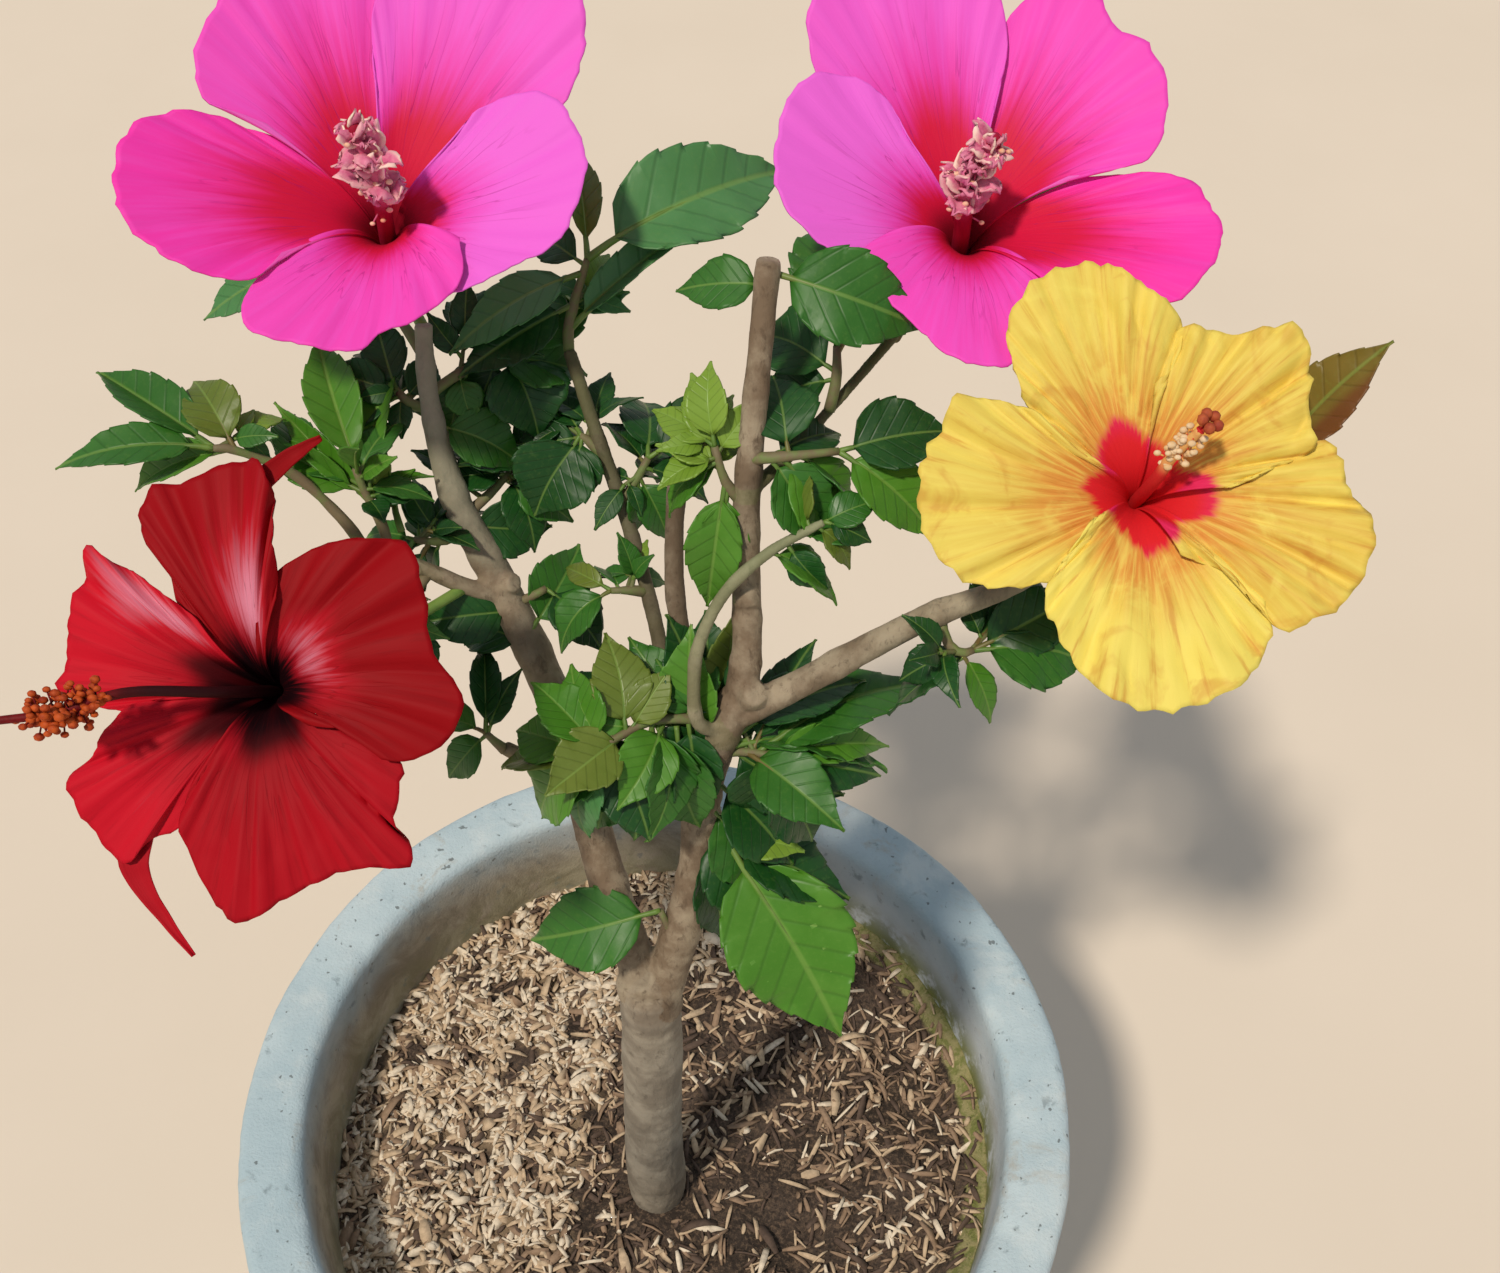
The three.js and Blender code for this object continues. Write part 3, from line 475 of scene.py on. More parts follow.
def potFinish():
    f = Finish("wornPaintedCement", Roughness=0.82)
    x, y, z = f.put("SeparateXYZ", {0: f.objectPlace()}).outputs

    def within(value, key, *to):
        return f.between(value, *[mm * edge for edge in pot[key]], *to)

    broad = f.mottle(70, 5, 0.6)
    worn = f.mottle(26, 7, 0.68, 0.6)
    stains = f.mottle(9, 5, 0.6, 0.3)
    chalk = f.mottle(33, 6, 0.65, 0.4)
    grit = f.mottle(1.3, 3, 0.6)
    colour = f.layers(
        pot["paint"], (broad, 0.35, 0.7, 1, pot["paintPale"]), (worn, 0.55, 0.7, 0.65, pot["bare"]),
        (stains, 0.6, 0.72, 0.65, pot["stain"]), (chalk, 0.5, 0.68, 0.5, pot["chalk"]),
        (grit, 0.62, 0.8, 0.35, pot["stain"]), (f.mottle(3.2, 2, 0.4), 0.69, 0.74, 0.75, pot["speck"]))
    # streaks running down the outside
    streak = f.between(f.mottle(14, 5, 0.6, stretch=(1, 1, 0.12)), 0.45, 0.7)
    colour = f.blend(f.times(streak, within(z, "streakHeights", 0.55, 0.0)), colour, pot["bare"])
    # the bare inner wall, limewashed on the right, where the limewash is also made paler than the rim as
    # painted light for the sunlit side, and mossy towards the soil
    radius = f.sums("SQRT", f.sums("MULTIPLY_ADD", x, x, f.times(y, y)))
    inner = f.times(within(radius, "innerRadii"), within(z, "innerHeights"))
    wall = f.layers(pot["inside"], (worn, 0.35, 0.65, 1, pot["insideDark"]))
    # painted light: the right side of the inner wall is whitened, part real limewash, part the sunlight
    # falling on it
    limedAndLit = f.times(within(x, "limeLitSide"), f.between(chalk, 0.3, 0.5, 0.55, 1))
    wall = f.layers(f.blend(limedAndLit, wall, pot["limewashLit"]), (stains, 0.6, 0.7, 0.5, pot["stain"]))
    colour = f.blend(inner, colour, wall)
    damp = f.times(within(z, "mossHeights"), within(x, "mossSide", 0.25, 1.0))
    moss = f.times(damp, f.between(f.mottle(12, 5, 0.65), 0.34, 0.52))
    colour = f.blend(f.times(moss, inner), colour, pot["moss"])
    rough = f.between(broad, 0.3, 0.7, 0.72, 0.92)
    return f.done(colour, f.sums("ADD", grit, f.times(worn, 1.6)), 0.5, 0.9, rough)


makePot()


# Soil, with husks and bark chips lying on it

soil = {
    "rings": 90, "spokes": 200, "radius": 150.2, "foot": 94.7, "bottom": 28.4,
    "colour": "52443a", "damp": "382d24", "dark": "241c16", "pale": "7d6753", "dusty": "9a8469",
    "moss": "a39a6c",
    "husks": 7600, "chips": 0.09, "length": (3.5, 12), "width": (1.3, 3.6), "seed": 5, "patch": 13,
    "husksWithin": 148.5, "trunkRoom": 15, "tilt": 0.34, "roll": 0.5, "curl": (-0.12, 0.2), "sheet": 0.6,
    "grainDark": 0.55,
    "mound": 3.0, "moundAt": (0, -24), "moundSpread": 2600,
    "bumps": ((3.2, 34), (1.5, 11), (0.8, 4)),  # each its height and its size
    "mossRise": 9, "mossRing": (136, 150), "mossSide": (40, 95),
    # where the husks' cover grows to the full: to the left, to the back and by the wall; the bare spot
    "coverLeft": (8, 48), "coverBack": (70, 105), "coverWall": (120, 134), "leastCover": 0.42,
    "bareAt": (48, -35), "bareSpread": 900,
    "bareShare": 0.8, "mossShare": 0.85,  # how much cover the bare spot and the moss take away
    "wallRight": 0.55, "wallLeft": 0.2,  # the most cover by the wall
    # husks where they cover more than "denseFrom" and elsewhere: shares of the four tones, then how long,
    # how wide and how high they lie
    "denseFrom": 0.62, "dense": ((0.46, 0.36, 0.13, 0.05), 0.85, 1.0, 2.2),
    "loose": ((0.1, 0.24, 0.38, 0.28), 1.15, 0.75, 1.2), "chipSize": (1.5, 1.7),
    "tones": {"husksPale": "e8d8c0", "husksTan": "ccb394", "husksBrown": "9a8068", "husksDark": "5e4c40"},
}


# Moss creeping up the wall on the right
def mossBank(x, y):
    return float(ease(math.hypot(x, y), *soil["mossRing"]) * ease(x, *soil["mossSide"]))


# A soft round hill, 1 at its top
def hill(x, y, top, area):
    return math.exp(-((x - top[0]) ** 2 + (y - top[1]) ** 2) / area)


def soilHeight(x, y):
    here = Vector((x, y, 0))
    bumps = sum(height * noise.noise(here / size) for height, size in soil["bumps"])
    mound = soil["mound"] * hill(x, y, soil["moundAt"], soil["moundSpread"])
    return soilTop + mound + soil["mossRise"] * mossBank(x, y) + bumps


def makeSoil():
    turn = turns(soil["spokes"])
    top = onRings(soil["radius"] * np.linspace(0.012, 1, soil["rings"])[:, None], turn, 0)
    top[..., 2] = [[soilHeight(x, y) for x, y, _ in ring] for ring in top]
    foot = soil["bottom"]
    lower = np.array([(soil["radius"] - 4, soilTop - 12), (soil["foot"], foot), (4, foot)])
    p = np.concatenate([top, onRings(lower[:, :1], turn, lower[:, 1:])])
    places = [(mossBank(x, y), 0) for x, y, _ in p.reshape(-1, 3)]
    dusty = [huskCover(x, y) for x, y, _ in p.reshape(-1, 3)]
    parts = Gather()
    parts.ringed(p, places, dusty)
    f = Finish("pottingSoil", Roughness=0.95)
    clods, crumbs = f.mottle(5, 8, 0.7, 0.4), f.mottle(1.8, 4, 0.7, 0.4)
    mossy = f.layers(pot["moss"], (clods, 0.4, 0.6, 1, soil["moss"]))
    sprouts = f.sums("MULTIPLY_ADD", clods, 0.5, f.ownPlace()[0])
    colour = f.layers(
        soil["colour"], (f.mottle(45, 3), 0.4, 0.6, 1, soil["damp"]), (clods, 0.5, 0.75, 0.8, soil["pale"]),
        (crumbs, 0.5, 0.64, 0.65, soil["pale"]), (crumbs, 0.48, 0.36, 0.7, soil["dark"]),
        (f.ownShade(), 0.5, 0.9, 0.8, soil["dusty"]), (sprouts, 0.4, 0.62, 1, mossy))
    finish = f.done(colour, f.sums("MULTIPLY_ADD", crumbs, 0.5, clods), 0.9, 2.5)
    newPiece("pottingSoil", parts, [finish], ["soil"])


# How much of the soil the husks cover: nearly all on the left and at the back, less in front
def huskCover(x, y):
    left = float(ease(-x + 0.15 * y, *soil["coverLeft"]))
    back = float(ease(y, *soil["coverBack"]))
    wall = float(ease(math.hypot(x, y), *soil["coverWall"])) * soil["wallRight" if x > 0 else "wallLeft"]
    bare = hill(x, y, soil["bareAt"], soil["bareSpread"])
    patches = min(1.0, max(0.12, 0.9 + 1.1 * noise.noise(Vector((x, y, 40)) / soil["patch"])))
    cover = max(left, back, wall, soil["leastCover"]) * (1 - soil["bareShare"] * bare) * patches
    return cover * (1 - soil["mossShare"] * mossBank(x, y))


def makeHusks():
    rng = np.random.RandomState(soil["seed"])
    heaps = {name: Gather() for name in soil["tones"]}
    names = list(heaps)
    s = np.linspace(0, 1, 4)[:, None]
    w = np.array([[-1.0, 1.0]])
    bulge = 0.3 + 0.7 * np.sin(math.pi * np.clip(s, 0.04, 0.96)) ** 0.7
    laidDown = 0
    while laidDown < soil["husks"]:
        a = rng.uniform(0, 6.2832)
        r = soil["husksWithin"] * math.sqrt(rng.rand())
        x, y = r * math.cos(a), r * math.sin(a)
        cover = huskCover(x, y)
        if rng.rand() > cover or math.hypot(x + 2, y + 24) < soil["trunkRoom"]:
            continue
        laidDown += 1
        odds, longer, wider, higher = soil["dense" if cover > soil["denseFrom"] else "loose"]
        tone = rng.choice(4, p=odds)
        length = rng.uniform(*soil["length"]) * longer
        width = rng.uniform(*soil["width"]) * wider
        if rng.rand() < soil["chips"]:
            length, width = length * soil["chipSize"][0], width * soil["chipSize"][1]
        turn = rng.uniform(0, 6.2832)
        along = heading(math.degrees(turn), math.degrees(rng.normal(0, soil["tilt"])))
        side = rolled(along, unit(np.cross([0, 0, 1], along)), rng.normal(0, soil["roll"]))
        curl = rng.uniform(*soil["curl"]) * length
        middle = (x, y, soilHeight(x, y) + rng.uniform(0.3, higher))
        p = laid(middle, (along, side, np.cross(along, side)),
                 length * (s - 0.5), width / 2 * bulge * w, curl * 4 * s * (1 - s))
        heaps[names[tone]].sheet(p, soil["sheet"], spread(w, s), rng.rand(), under=0)
    for name, colour in soil["tones"].items():
        f = Finish(name, Roughness=0.85)
        grain = f.mottle(2.2, 4, 0.6)
        colour = f.layers(colour, (grain, 0.35, 0.75, 0.7, dimmed(colour, soil["grainDark"])))
        newPiece(name, heaps[name], [f.done(colour, grain)])


makeSoil()
makeHusks()


# Trunk, boughs and twigs

limbs = {
    "trunk": ([[-1, -19, 222], [-1, -19, 246], [0, -20, 300], [2, -21, 345], [4, -22, 395], [5, -23, 422],
               [5, -22, 436]], [12.4, 12.8, 12.2, 11.8, 11.3, 11.2, 9.4]),
    "bough_middle": ([[9, -22, 428], [17, -14, 460], [23, -7, 486], [25, 0, 518], [31, 5, 545], [37, 9, 562]],
                     [7.6, 6.9, 6.6, 6.2, 5.9, 6.2]),
    "bough_left": ([[3, -20, 432], [-3, -12, 454], [-10, 0, 480], [-23, 29, 529], [-41, 51, 572],
                    [-52, 62, 596], [-57, 74, 626], [-57, 84, 648]],
                   [6.9, 6.7, 6.6, 6.3, 5.5, 4.8, 3.2, 2.6]),
    "bough_upright": ([[37, 8, 556], [40, 14, 578], [40, 21, 597], [40, 31, 626], [43, 43, 661],
                       [46, 54, 694]], [5.6, 4.8, 4.4, 4.1, 3.6, 3.3]),
    "bough_right": ([[38, 7, 557], [56, 8, 570], [91, 12, 595], [114, 13, 608], [132, 17, 619]],
                    [5, 4.5, 3.9, 3.3, 2.5]),
    "bough_far_left": ([[-38, 47, 566], [-50, 44, 575], [-62, 42, 586], [-77, 40, 598]], [3, 2.7, 2.4, 2.1]),
    "bough_back": ([[26, 2, 527], [17, 16, 547], [9, 42, 570], [1, 61, 592], [-6, 72, 611], [-15, 90, 633]],
                   [3.2, 2.8, 2.5, 2.4, 2.3, 2.1]),
    "bough_pink_right": ([[40, 31, 629], [51, 41, 633], [60, 50, 638], [80, 74, 646], [92, 88, 653]],
                         [2.3, 1.9, 1.7, 1.7, 1.7]),
    "stub_back": ([[32, 7, 547], [24, 18, 556], [18, 33, 578], [18, 46, 603], [21, 55, 626]],
                  [3.3, 3.1, 3.1, 3.1, 3]),
    "stub_cut": ([[38, 9, 560], [41, 6, 566], [43, 4, 571]], [4.4, 4.1, 3.9]),
    "twig_arching": ([[33, 5, 549], [25, 1, 560], [24, 5, 575], [26, 10, 588], [34, 15, 605], [47, 17, 620],
                      [62, 18, 631]], [2.4, 2.3, 2.2, 2.1, 1.9, 1.7, 1.4]),
    "twig_low_left": ([[-17, 18, 506], [-28, 13, 520], [-39, 11, 533]], [3.2, 3, 2.4]),
}
# tones from foot to tip where they differ from 0.5: 0 is painted shade, dark, for boughs in shadow at the
# back; 1 weathered and pale
limbShadeAndWeather = {"bough_back": (0.15, 0.0), "bough_pink_right": (0.1, 0.0), "stub_back": (0.35, 0.2),
             "bough_left": (0.3, 1.1), "twig_arching": (0.6, 0.9), "bough_right": (0.55, 0.8)}
# knobs and cut ends: from, to, and the two radii
knobs = [
    ((0, -22, 426), (-3, -22, 437), 6.4, 4.6), ((0, -24, 418), (-6, -25, 419), 4.5, 2.6),
    ((8, -22, 418), (12, -24, 426), 8, 5.4), ((0, -19, 262), (2, -32, 263), 4.5, 1.6),
    ((-40, 50, 570), (-34, 46, 574), 4.5, 3), ((38, 20, 597), (43, 17, 600), 4.4, 2.4),
    ((25, 0, 512), (30, -5, 514), 5, 3.4), ((60, 9, 573), (62, 5, 578), 4, 2),
    ((-12, 6, 490), (-17, 2, 494), 6, 3), ((39, 26, 612), (35, 22, 614), 4, 2.2),
]
bark = {
    "step": 3, "sides": 28, "knobSides": 18, "voxel": 0.97, "smooth": 3,
    "fullRelief": 13, "fullShade": 14,  # limb radii
    # rings where leaves once stood
    "nodeEvery": 27, "nodeGaps": (0.6, 1.3), "nodeWidth": 2.6, "nodeSwell": 0.1, "trunkSwell": 0.035,
    "uneven": 0.03, "ripple": 0.45, "rippleSize": 7, "cracks": 0.35, "crackSize": 2.2, "fineRings": 0.025,
    "trunkColour": "857b6c", "trunkPale": "a59b8a", "trunkDark": "61574a",
    "boughColour": "77644f", "boughPale": "a2937c", "boughDark": "51402f", "young": "6e7d46",
    # the first colour on this line is painted shade: the dark given to boughs in shadow at the back
    "paintedShade": "3a3024", "weathered": "9da08a",
}


def limbLine(points, radii, seed):
    length = lineLength(points)
    t = np.linspace(0, 1, max(6, int(length / bark["step"])))
    r = np.interp(t, np.arange(len(radii)) / (len(radii) - 1), radii)
    rings = np.zeros_like(t)
    rng = np.random.RandomState(seed)
    at = rng.uniform(6, bark["nodeEvery"])
    while at < length:
        rings += np.exp(-((t * length - at) / bark["nodeWidth"]) ** 2)
        at += bark["nodeEvery"] * rng.uniform(*bark["nodeGaps"])
    swell = bark["trunkSwell"] if radii[0] > 12 else bark["nodeSwell"]
    return curveAt(points, t), r * (1 + swell * rings + bark["uneven"] * waver(t * length / 14, seed))


def makeBark():
    parts = Gather()
    spots, sizes, tones = [], [], []
    for seed, (name, (points, radii)) in enumerate(limbs.items()):
        line, r = limbLine(points, radii, seed + 3)
        parts.tube(line, r, bark["sides"])
        spots += list(line)
        sizes += list(r)
        # each limb's tone carries painted shade for the boughs at the back and weathering for the others
        tones += list(np.linspace(*limbShadeAndWeather.get(name, (0.5, 0.5)), len(r)))
    for a, b, ra, rb in knobs:
        t = np.linspace(0, 1, 8)[:, None]
        line = np.array(a) * (1 - t) + np.array(b) * t
        parts.tube(line, ra + (rb - ra) * t[:, 0] ** 1.5, bark["knobSides"])
    fuse = ("REMESH", {"mode": "VOXEL", "voxel_size": bark["voxel"] * mm})
    soften = ("SMOOTH", {"factor": 0.5, "iterations": bark["smooth"]})
    mesh = worked(newMesh("bark", parts), barkFinish(), fuse, soften)
    p, out = meshValues(mesh, "co") / mm, meshValues(mesh, "normal")
    tree = kdtree.KDTree(len(spots))
    for i, spot in enumerate(spots):
        tree.insert(spot, i)
    tree.balance()
    near = np.array([sizes[tree.find(q)[1]] for q in p])
    rel = np.clip(near / bark["fullRelief"], 0.2, 1.0)
    long = p * [1, 1, 0.35]
    cracks = np.clip(lumps(long, bark["crackSize"], 2), 0, 1)
    push = bark["ripple"] * lumps(long, bark["rippleSize"], 3) - bark["cracks"] * cracks
    rings = bark["fineRings"] * np.sin(p[:, 2] / 1.7 + 2.5 * lumps(p, 20, 2))
    moved = (p + out * ((push + rings) * rel)[:, None]) * mm
    mesh.vertices.foreach_set("co", moved.astype(np.float32).ravel())
    mesh.update()
    addValues(mesh, "shade", near / bark["fullShade"])
    addValues(mesh, "tint", [np.mean([tones[i] for _, i, _ in tree.find_n(q, 6)]) for q in p])
    mesh.polygons.foreach_set("use_smooth", np.ones(len(mesh.polygons), bool))
    addPiece("bark", mesh, list(limbs))


def barkFinish():
    f = Finish("greyBark", Roughness=0.8)
    thick, tone = f.ownShade(), f.ownShade("tint")
    soft = f.mottle(16, 5, 0.6)
    fine = f.mottle(2.6, 6, 0.68, 0.5, (1, 1, 0.4))
    rings = f.mottle(5, 4, 0.6, 0.3, (0.25, 0.25, 1.6))
    trunk = f.layers(bark["trunkColour"], (soft, 0.38, 0.66, 1, bark["trunkPale"]),
                     (fine, 0.55, 0.75, 0.7, bark["trunkDark"]))
    # painted shade darkens the boughs in shadow at the back; weathered bark is paler
    colour = f.layers(
        bark["boughColour"], (soft, 0.4, 0.66, 1, bark["boughPale"]),
        (fine, 0.5, 0.72, 0.8, bark["boughDark"]), (thick, 0.6, 0.85, 1, trunk),
        (rings, 0.58, 0.75, 0.08, bark["boughDark"]), (tone, 0.48, 0.0, 0.75, bark["paintedShade"]),
        (tone, 0.52, 1.0, 0.65, bark["weathered"]), (thick, 0.22, 0.12, 0.45, bark["young"]))
    return f.done(colour, f.sums("ADD", fine, f.times(rings, 0.12)), 0.5, 0.9)


makeBark()


# Leaves. Each mass: the stem that carries it, its leaves as (place along the stem, direction on plan and
# rise in degrees, reach, width, tone), and the middle and radius of the space it keeps to.

masses = {
    "leaves_far_left": (
        [[-77, 40, 597], [-84, 45, 606], [-96, 49, 620], [-110, 48, 630], [-116, 47, 632]],
        [(1, 143, 6, 52, 14, "mid"), (1, 187, 0, 46, 14, "mid"), (0.8, 182, -23, 37, 11, "bright"),
         (0.75, 125, 20, 30, 15, "olive"), (0.5, 101, -8, 32, 12, "mid")], (-112, 55, 622, 66)),
    "leaves_left_shoot": (
        [[-70, 41, 592], [-72, 46, 602], [-76, 50, 611], [-78, 53, 618]],
        [(0.6, 84, 22, 56, 11, "bright"), (0.9, 110, 14, 54, 15, "bright"), (0.75, 148, 0, 34, 12, "mid"),
         (0.9, 300, 60, 22, 7, "bright"), (0.9, 62, 12, 26, 11, "mid"), (0.6, 15, -2, 18, 9, "dark")],
        (-80, 72, 610, 66)),
    "leaves_left_low": (
        [[-49, 57, 587], [-57, 52, 587], [-65, 52, 588]],
        [(1, 160, -20, 20, 9, "mid"), (1, 240, -30, 28, 10, "dark"), (0.7, 222, -56, 34, 11, "dark"),
         (0.9, 100, 10, 26, 9, "dark")], (-70, 48, 580, 44)),
    "leaves_left_high": (
        [[-56, 73, 623], [-63, 76, 623], [-68, 80, 624]],
        [(1, 110, 16, 28, 13, "dark"), (0.9, 200, -30, 22, 10, "dark"), (0.7, 130, -26, 30, 12, "dark"),
         (1, 160, 6, 26, 12, "dark")], (-70, 84, 622, 44)),
    "leaves_under_pink_left": (
        [[-57, 75, 628], [-50, 82, 629], [-42, 88, 630], [-35, 91, 630]],
        [(1, 300, -44, 28, 24, "dark"), (0.5, 230, -56, 22, 13, "mid"), (0.8, 110, 4, 36, 20, "dark"),
         (1, 52, 6, 38, 24, "mid"), (0.9, 85, -26, 44, 22, "dark")], (-40, 96, 628, 60)),
    "leaves_left_back": (
        [[-50, 60, 590], [-42, 66, 594], [-35, 73, 598]],
        [(1, 150, 14, 26, 14, "dark"), (0.9, 341, -32, 26, 13, "mid"), (0.9, 300, -40, 26, 15, "dark"),
         (0.7, 110, 20, 28, 15, "dark"), (1, 60, -10, 38, 20, "dark")], (-36, 80, 594, 52)),
    "leaf_bough_side": (
        [[-37, 46, 563], [-29, 47, 567], [-25, 49, 568]], [(1, 322, -25, 27, 18, "dark")],
        (-20, 40, 564, 34)),
    "leaves_top_middle": (
        [[-15, 90, 632], [-15, 93, 638], [-13, 97, 645], [-10, 100, 653], [-8, 101, 659]],
        [(1, 36, 3, 76, 31, "bluish"), (0.8, 200, -16, 48, 17, "bluish"), (0.5, 205, -20, 42, 16, "dark"),
         (0.25, 30, 30, 60, 10, "bluish"), (1, 100, 18, 46, 10, "olive"), (0.5, 60, -24, 28, 12, "mid"),
         (0.9, 130, -8, 26, 12, "dark")], (-5, 112, 660, 76)),
    "leaves_centre_left": (
        [[-4, 69, 606], [-9, 72, 611], [-12, 73, 613]],
        [(1, 225, -44, 30, 24, "dark"), (0.9, 120, 0, 30, 14, "dark")], (-20, 70, 604, 44)),
    "leaves_centre_right": (
        [[0, 62, 594], [5, 66, 600], [9, 70, 606]],
        [(1, 30, 4, 32, 21, "dark"), (0.6, 315, -56, 24, 13, "mid"), (0.8, 350, -30, 24, 15, "dark"),
         (1, 95, 0, 34, 18, "dark")], (14, 74, 600, 44)),
    "leaves_centre_low": (
        [[8, 44, 572], [3, 42, 575], [-3, 41, 576]],
        [(1, 138, -10, 24, 7, "olive"), (0.8, 110, -25, 22, 10, "mid"), (1, 215, -30, 26, 14, "mid")],
        (-10, 48, 570, 40)),
    "leaves_upright": (
        [[40, 31, 624], [34, 32, 633], [31, 36, 643]],
        [(0.5, 246, -66, 44, 15, "bright"), (0.9, 108, 22, 26, 12, "young"), (1, 140, 4, 24, 11, "young"),
         (0.8, 196, -50, 24, 15, "bright"), (1, 95, 44, 24, 11, "young")], (28, 40, 630, 50)),
    "leaves_upright_top": (
        [[64, 54, 640], [66, 59, 648], [66, 64, 656]],
        [(1, 84, 6, 56, 30, "mid"), (0.95, 74, 22, 38, 18, "dark"), (0.6, 141, -2, 30, 20, "dark"),
         (0.5, 172, -30, 26, 17, "dark"), (0.9, 64, 10, 44, 22, "bright")], (68, 82, 650, 62)),
    "leaf_upright_tip": (
        [[45, 51, 682], [45, 52, 684], [46, 53, 686]], [(1, 168, -10, 27, 14, "mid")], (28, 56, 686, 24)),
    "leaves_upright_right": (
        [[41, 34, 640], [52, 32, 643], [66, 34, 643]],
        [(1, 12, 4, 34, 20, "dark"), (1, 333, -32, 38, 18, "bright"), (0.6, 20, -50, 32, 20, "mid"),
         (0.4, 350, -60, 36, 22, "bright"), (0.25, 330, -50, 30, 18, "mid")], (64, 28, 632, 50)),
    "leaves_low_left": (
        [[31, 6, 548], [24, 5, 556], [11, 3, 558], [1, -3, 558], [-8, -9, 557]],
        [(0.9, 118, 30, 28, 15, "bright"), (0.45, 110, 20, 18, 13, "dark"), (0.7, 104, 34, 32, 17, "olive"),
         (0.3, 80, 30, 26, 16, "mid"), (0.6, 226, -58, 42, 24, "mid"), (0.95, 190, -56, 38, 23, "bright"),
         (0.5, 252, -60, 40, 22, "dark"), (0.3, 280, -66, 38, 16, "dark"), (1, 150, -10, 30, 18, "bright")],
        (-4, 2, 545, 56)),
    "leaves_low_twig": (
        [[-39, 11, 532], [-42, 11, 537], [-44, 11, 541]],
        [(1, 95, 14, 32, 9, "dark"), (0.9, 62, 24, 24, 8, "dark"), (0.9, 200, -44, 24, 12, "mid"),
         (1, 160, -12, 26, 12, "bright")], (-46, 16, 536, 44)),
    "leaves_right_bough": (
        [[31, 4, 540], [40, 2, 543], [48, -1, 545]],
        [(0.7, 25, 4, 62, 25, "mid"), (0.8, 11, -6, 44, 12, "bright"), (1, 0, -14, 38, 15, "dark"),
         (1, 320, -56, 37, 24, "dark"), (0.6, 62, 20, 44, 15, "dark")], (60, 8, 540, 62)),
    "leaves_yellow_side": (
        [[97, 13, 598], [99, 7, 592], [103, 4, 590], [107, 5, 590]],
        [(1, 0, -6, 36, 25, "mid"), (0.7, 318, -58, 26, 9, "bright"), (0.6, 190, -30, 20, 11, "dark"),
         (1, 22, 16, 38, 18, "dark"), (1, 60, 0, 44, 22, "dark")], (114, 14, 588, 52)),
    "leaves_behind_yellow": (
        [[126, 16, 615], [136, 27, 618], [160, 34, 626], [190, 36, 638]],
        [(1, 8, 62, 46, 18, "brown"), (0.6, 70, 6, 44, 24, "mid"), (0.4, 100, 6, 40, 22, "mid"),
         (0.8, 340, -30, 36, 20, "dark"), (0.3, 40, -34, 40, 20, "mid")], (164, 46, 640, 74)),
    "leaves_behind_pink_left": (
        [[-57, 80, 638], [-68, 96, 642], [-84, 114, 646], [-100, 122, 650]],
        [(1, 170, 6, 46, 24, "mid"), (0.9, 120, 4, 50, 26, "mid"), (0.8, 205, -10, 44, 22, "bluish"),
         (0.5, 90, -6, 52, 26, "mid"), (0.6, 60, 4, 48, 24, "dark")], (-88, 124, 644, 72)),
    "leaves_behind_pink_right": (
        [[84, 79, 647], [91, 96, 644], [104, 114, 645], [118, 125, 648]],
        [(1, 40, 4, 48, 25, "mid"), (1, 90, 6, 50, 26, "bright"), (0.7, 140, -4, 46, 24, "mid"),
         (0.6, 0, -6, 44, 22, "dark"), (0.8, 60, -24, 40, 20, "mid")], (110, 126, 646, 72)),
    "leaves_behind_red": (
        [[-60, 42, 583], [-70, 30, 576], [-84, 22, 570], [-98, 14, 568]],
        [(1, 180, -6, 44, 24, "mid"), (1, 235, -24, 42, 24, "mid"), (0.7, 130, 0, 44, 22, "dark"),
         (0.7, 270, -36, 42, 22, "mid"), (0.4, 250, -50, 40, 22, "dark")], (-92, 12, 566, 66)),
    "leaves_low_front": (
        [[23, -3, 502], [30, -8, 508], [34, -10, 509]],
        [(1, 310, -41, 78, 38, "bright"), (0.9, 350, 4, 26, 14, "young"), (0.9, 345, -20, 46, 24, "dark")],
        (60, -30, 490, 66)),
    "leaf_fork": ([[14, -16, 452], [13, -16, 463], [10, -14, 472]], [(1, 181, -22, 50, 26, "mid")],
                  (-18, -24, 466, 46)),
}
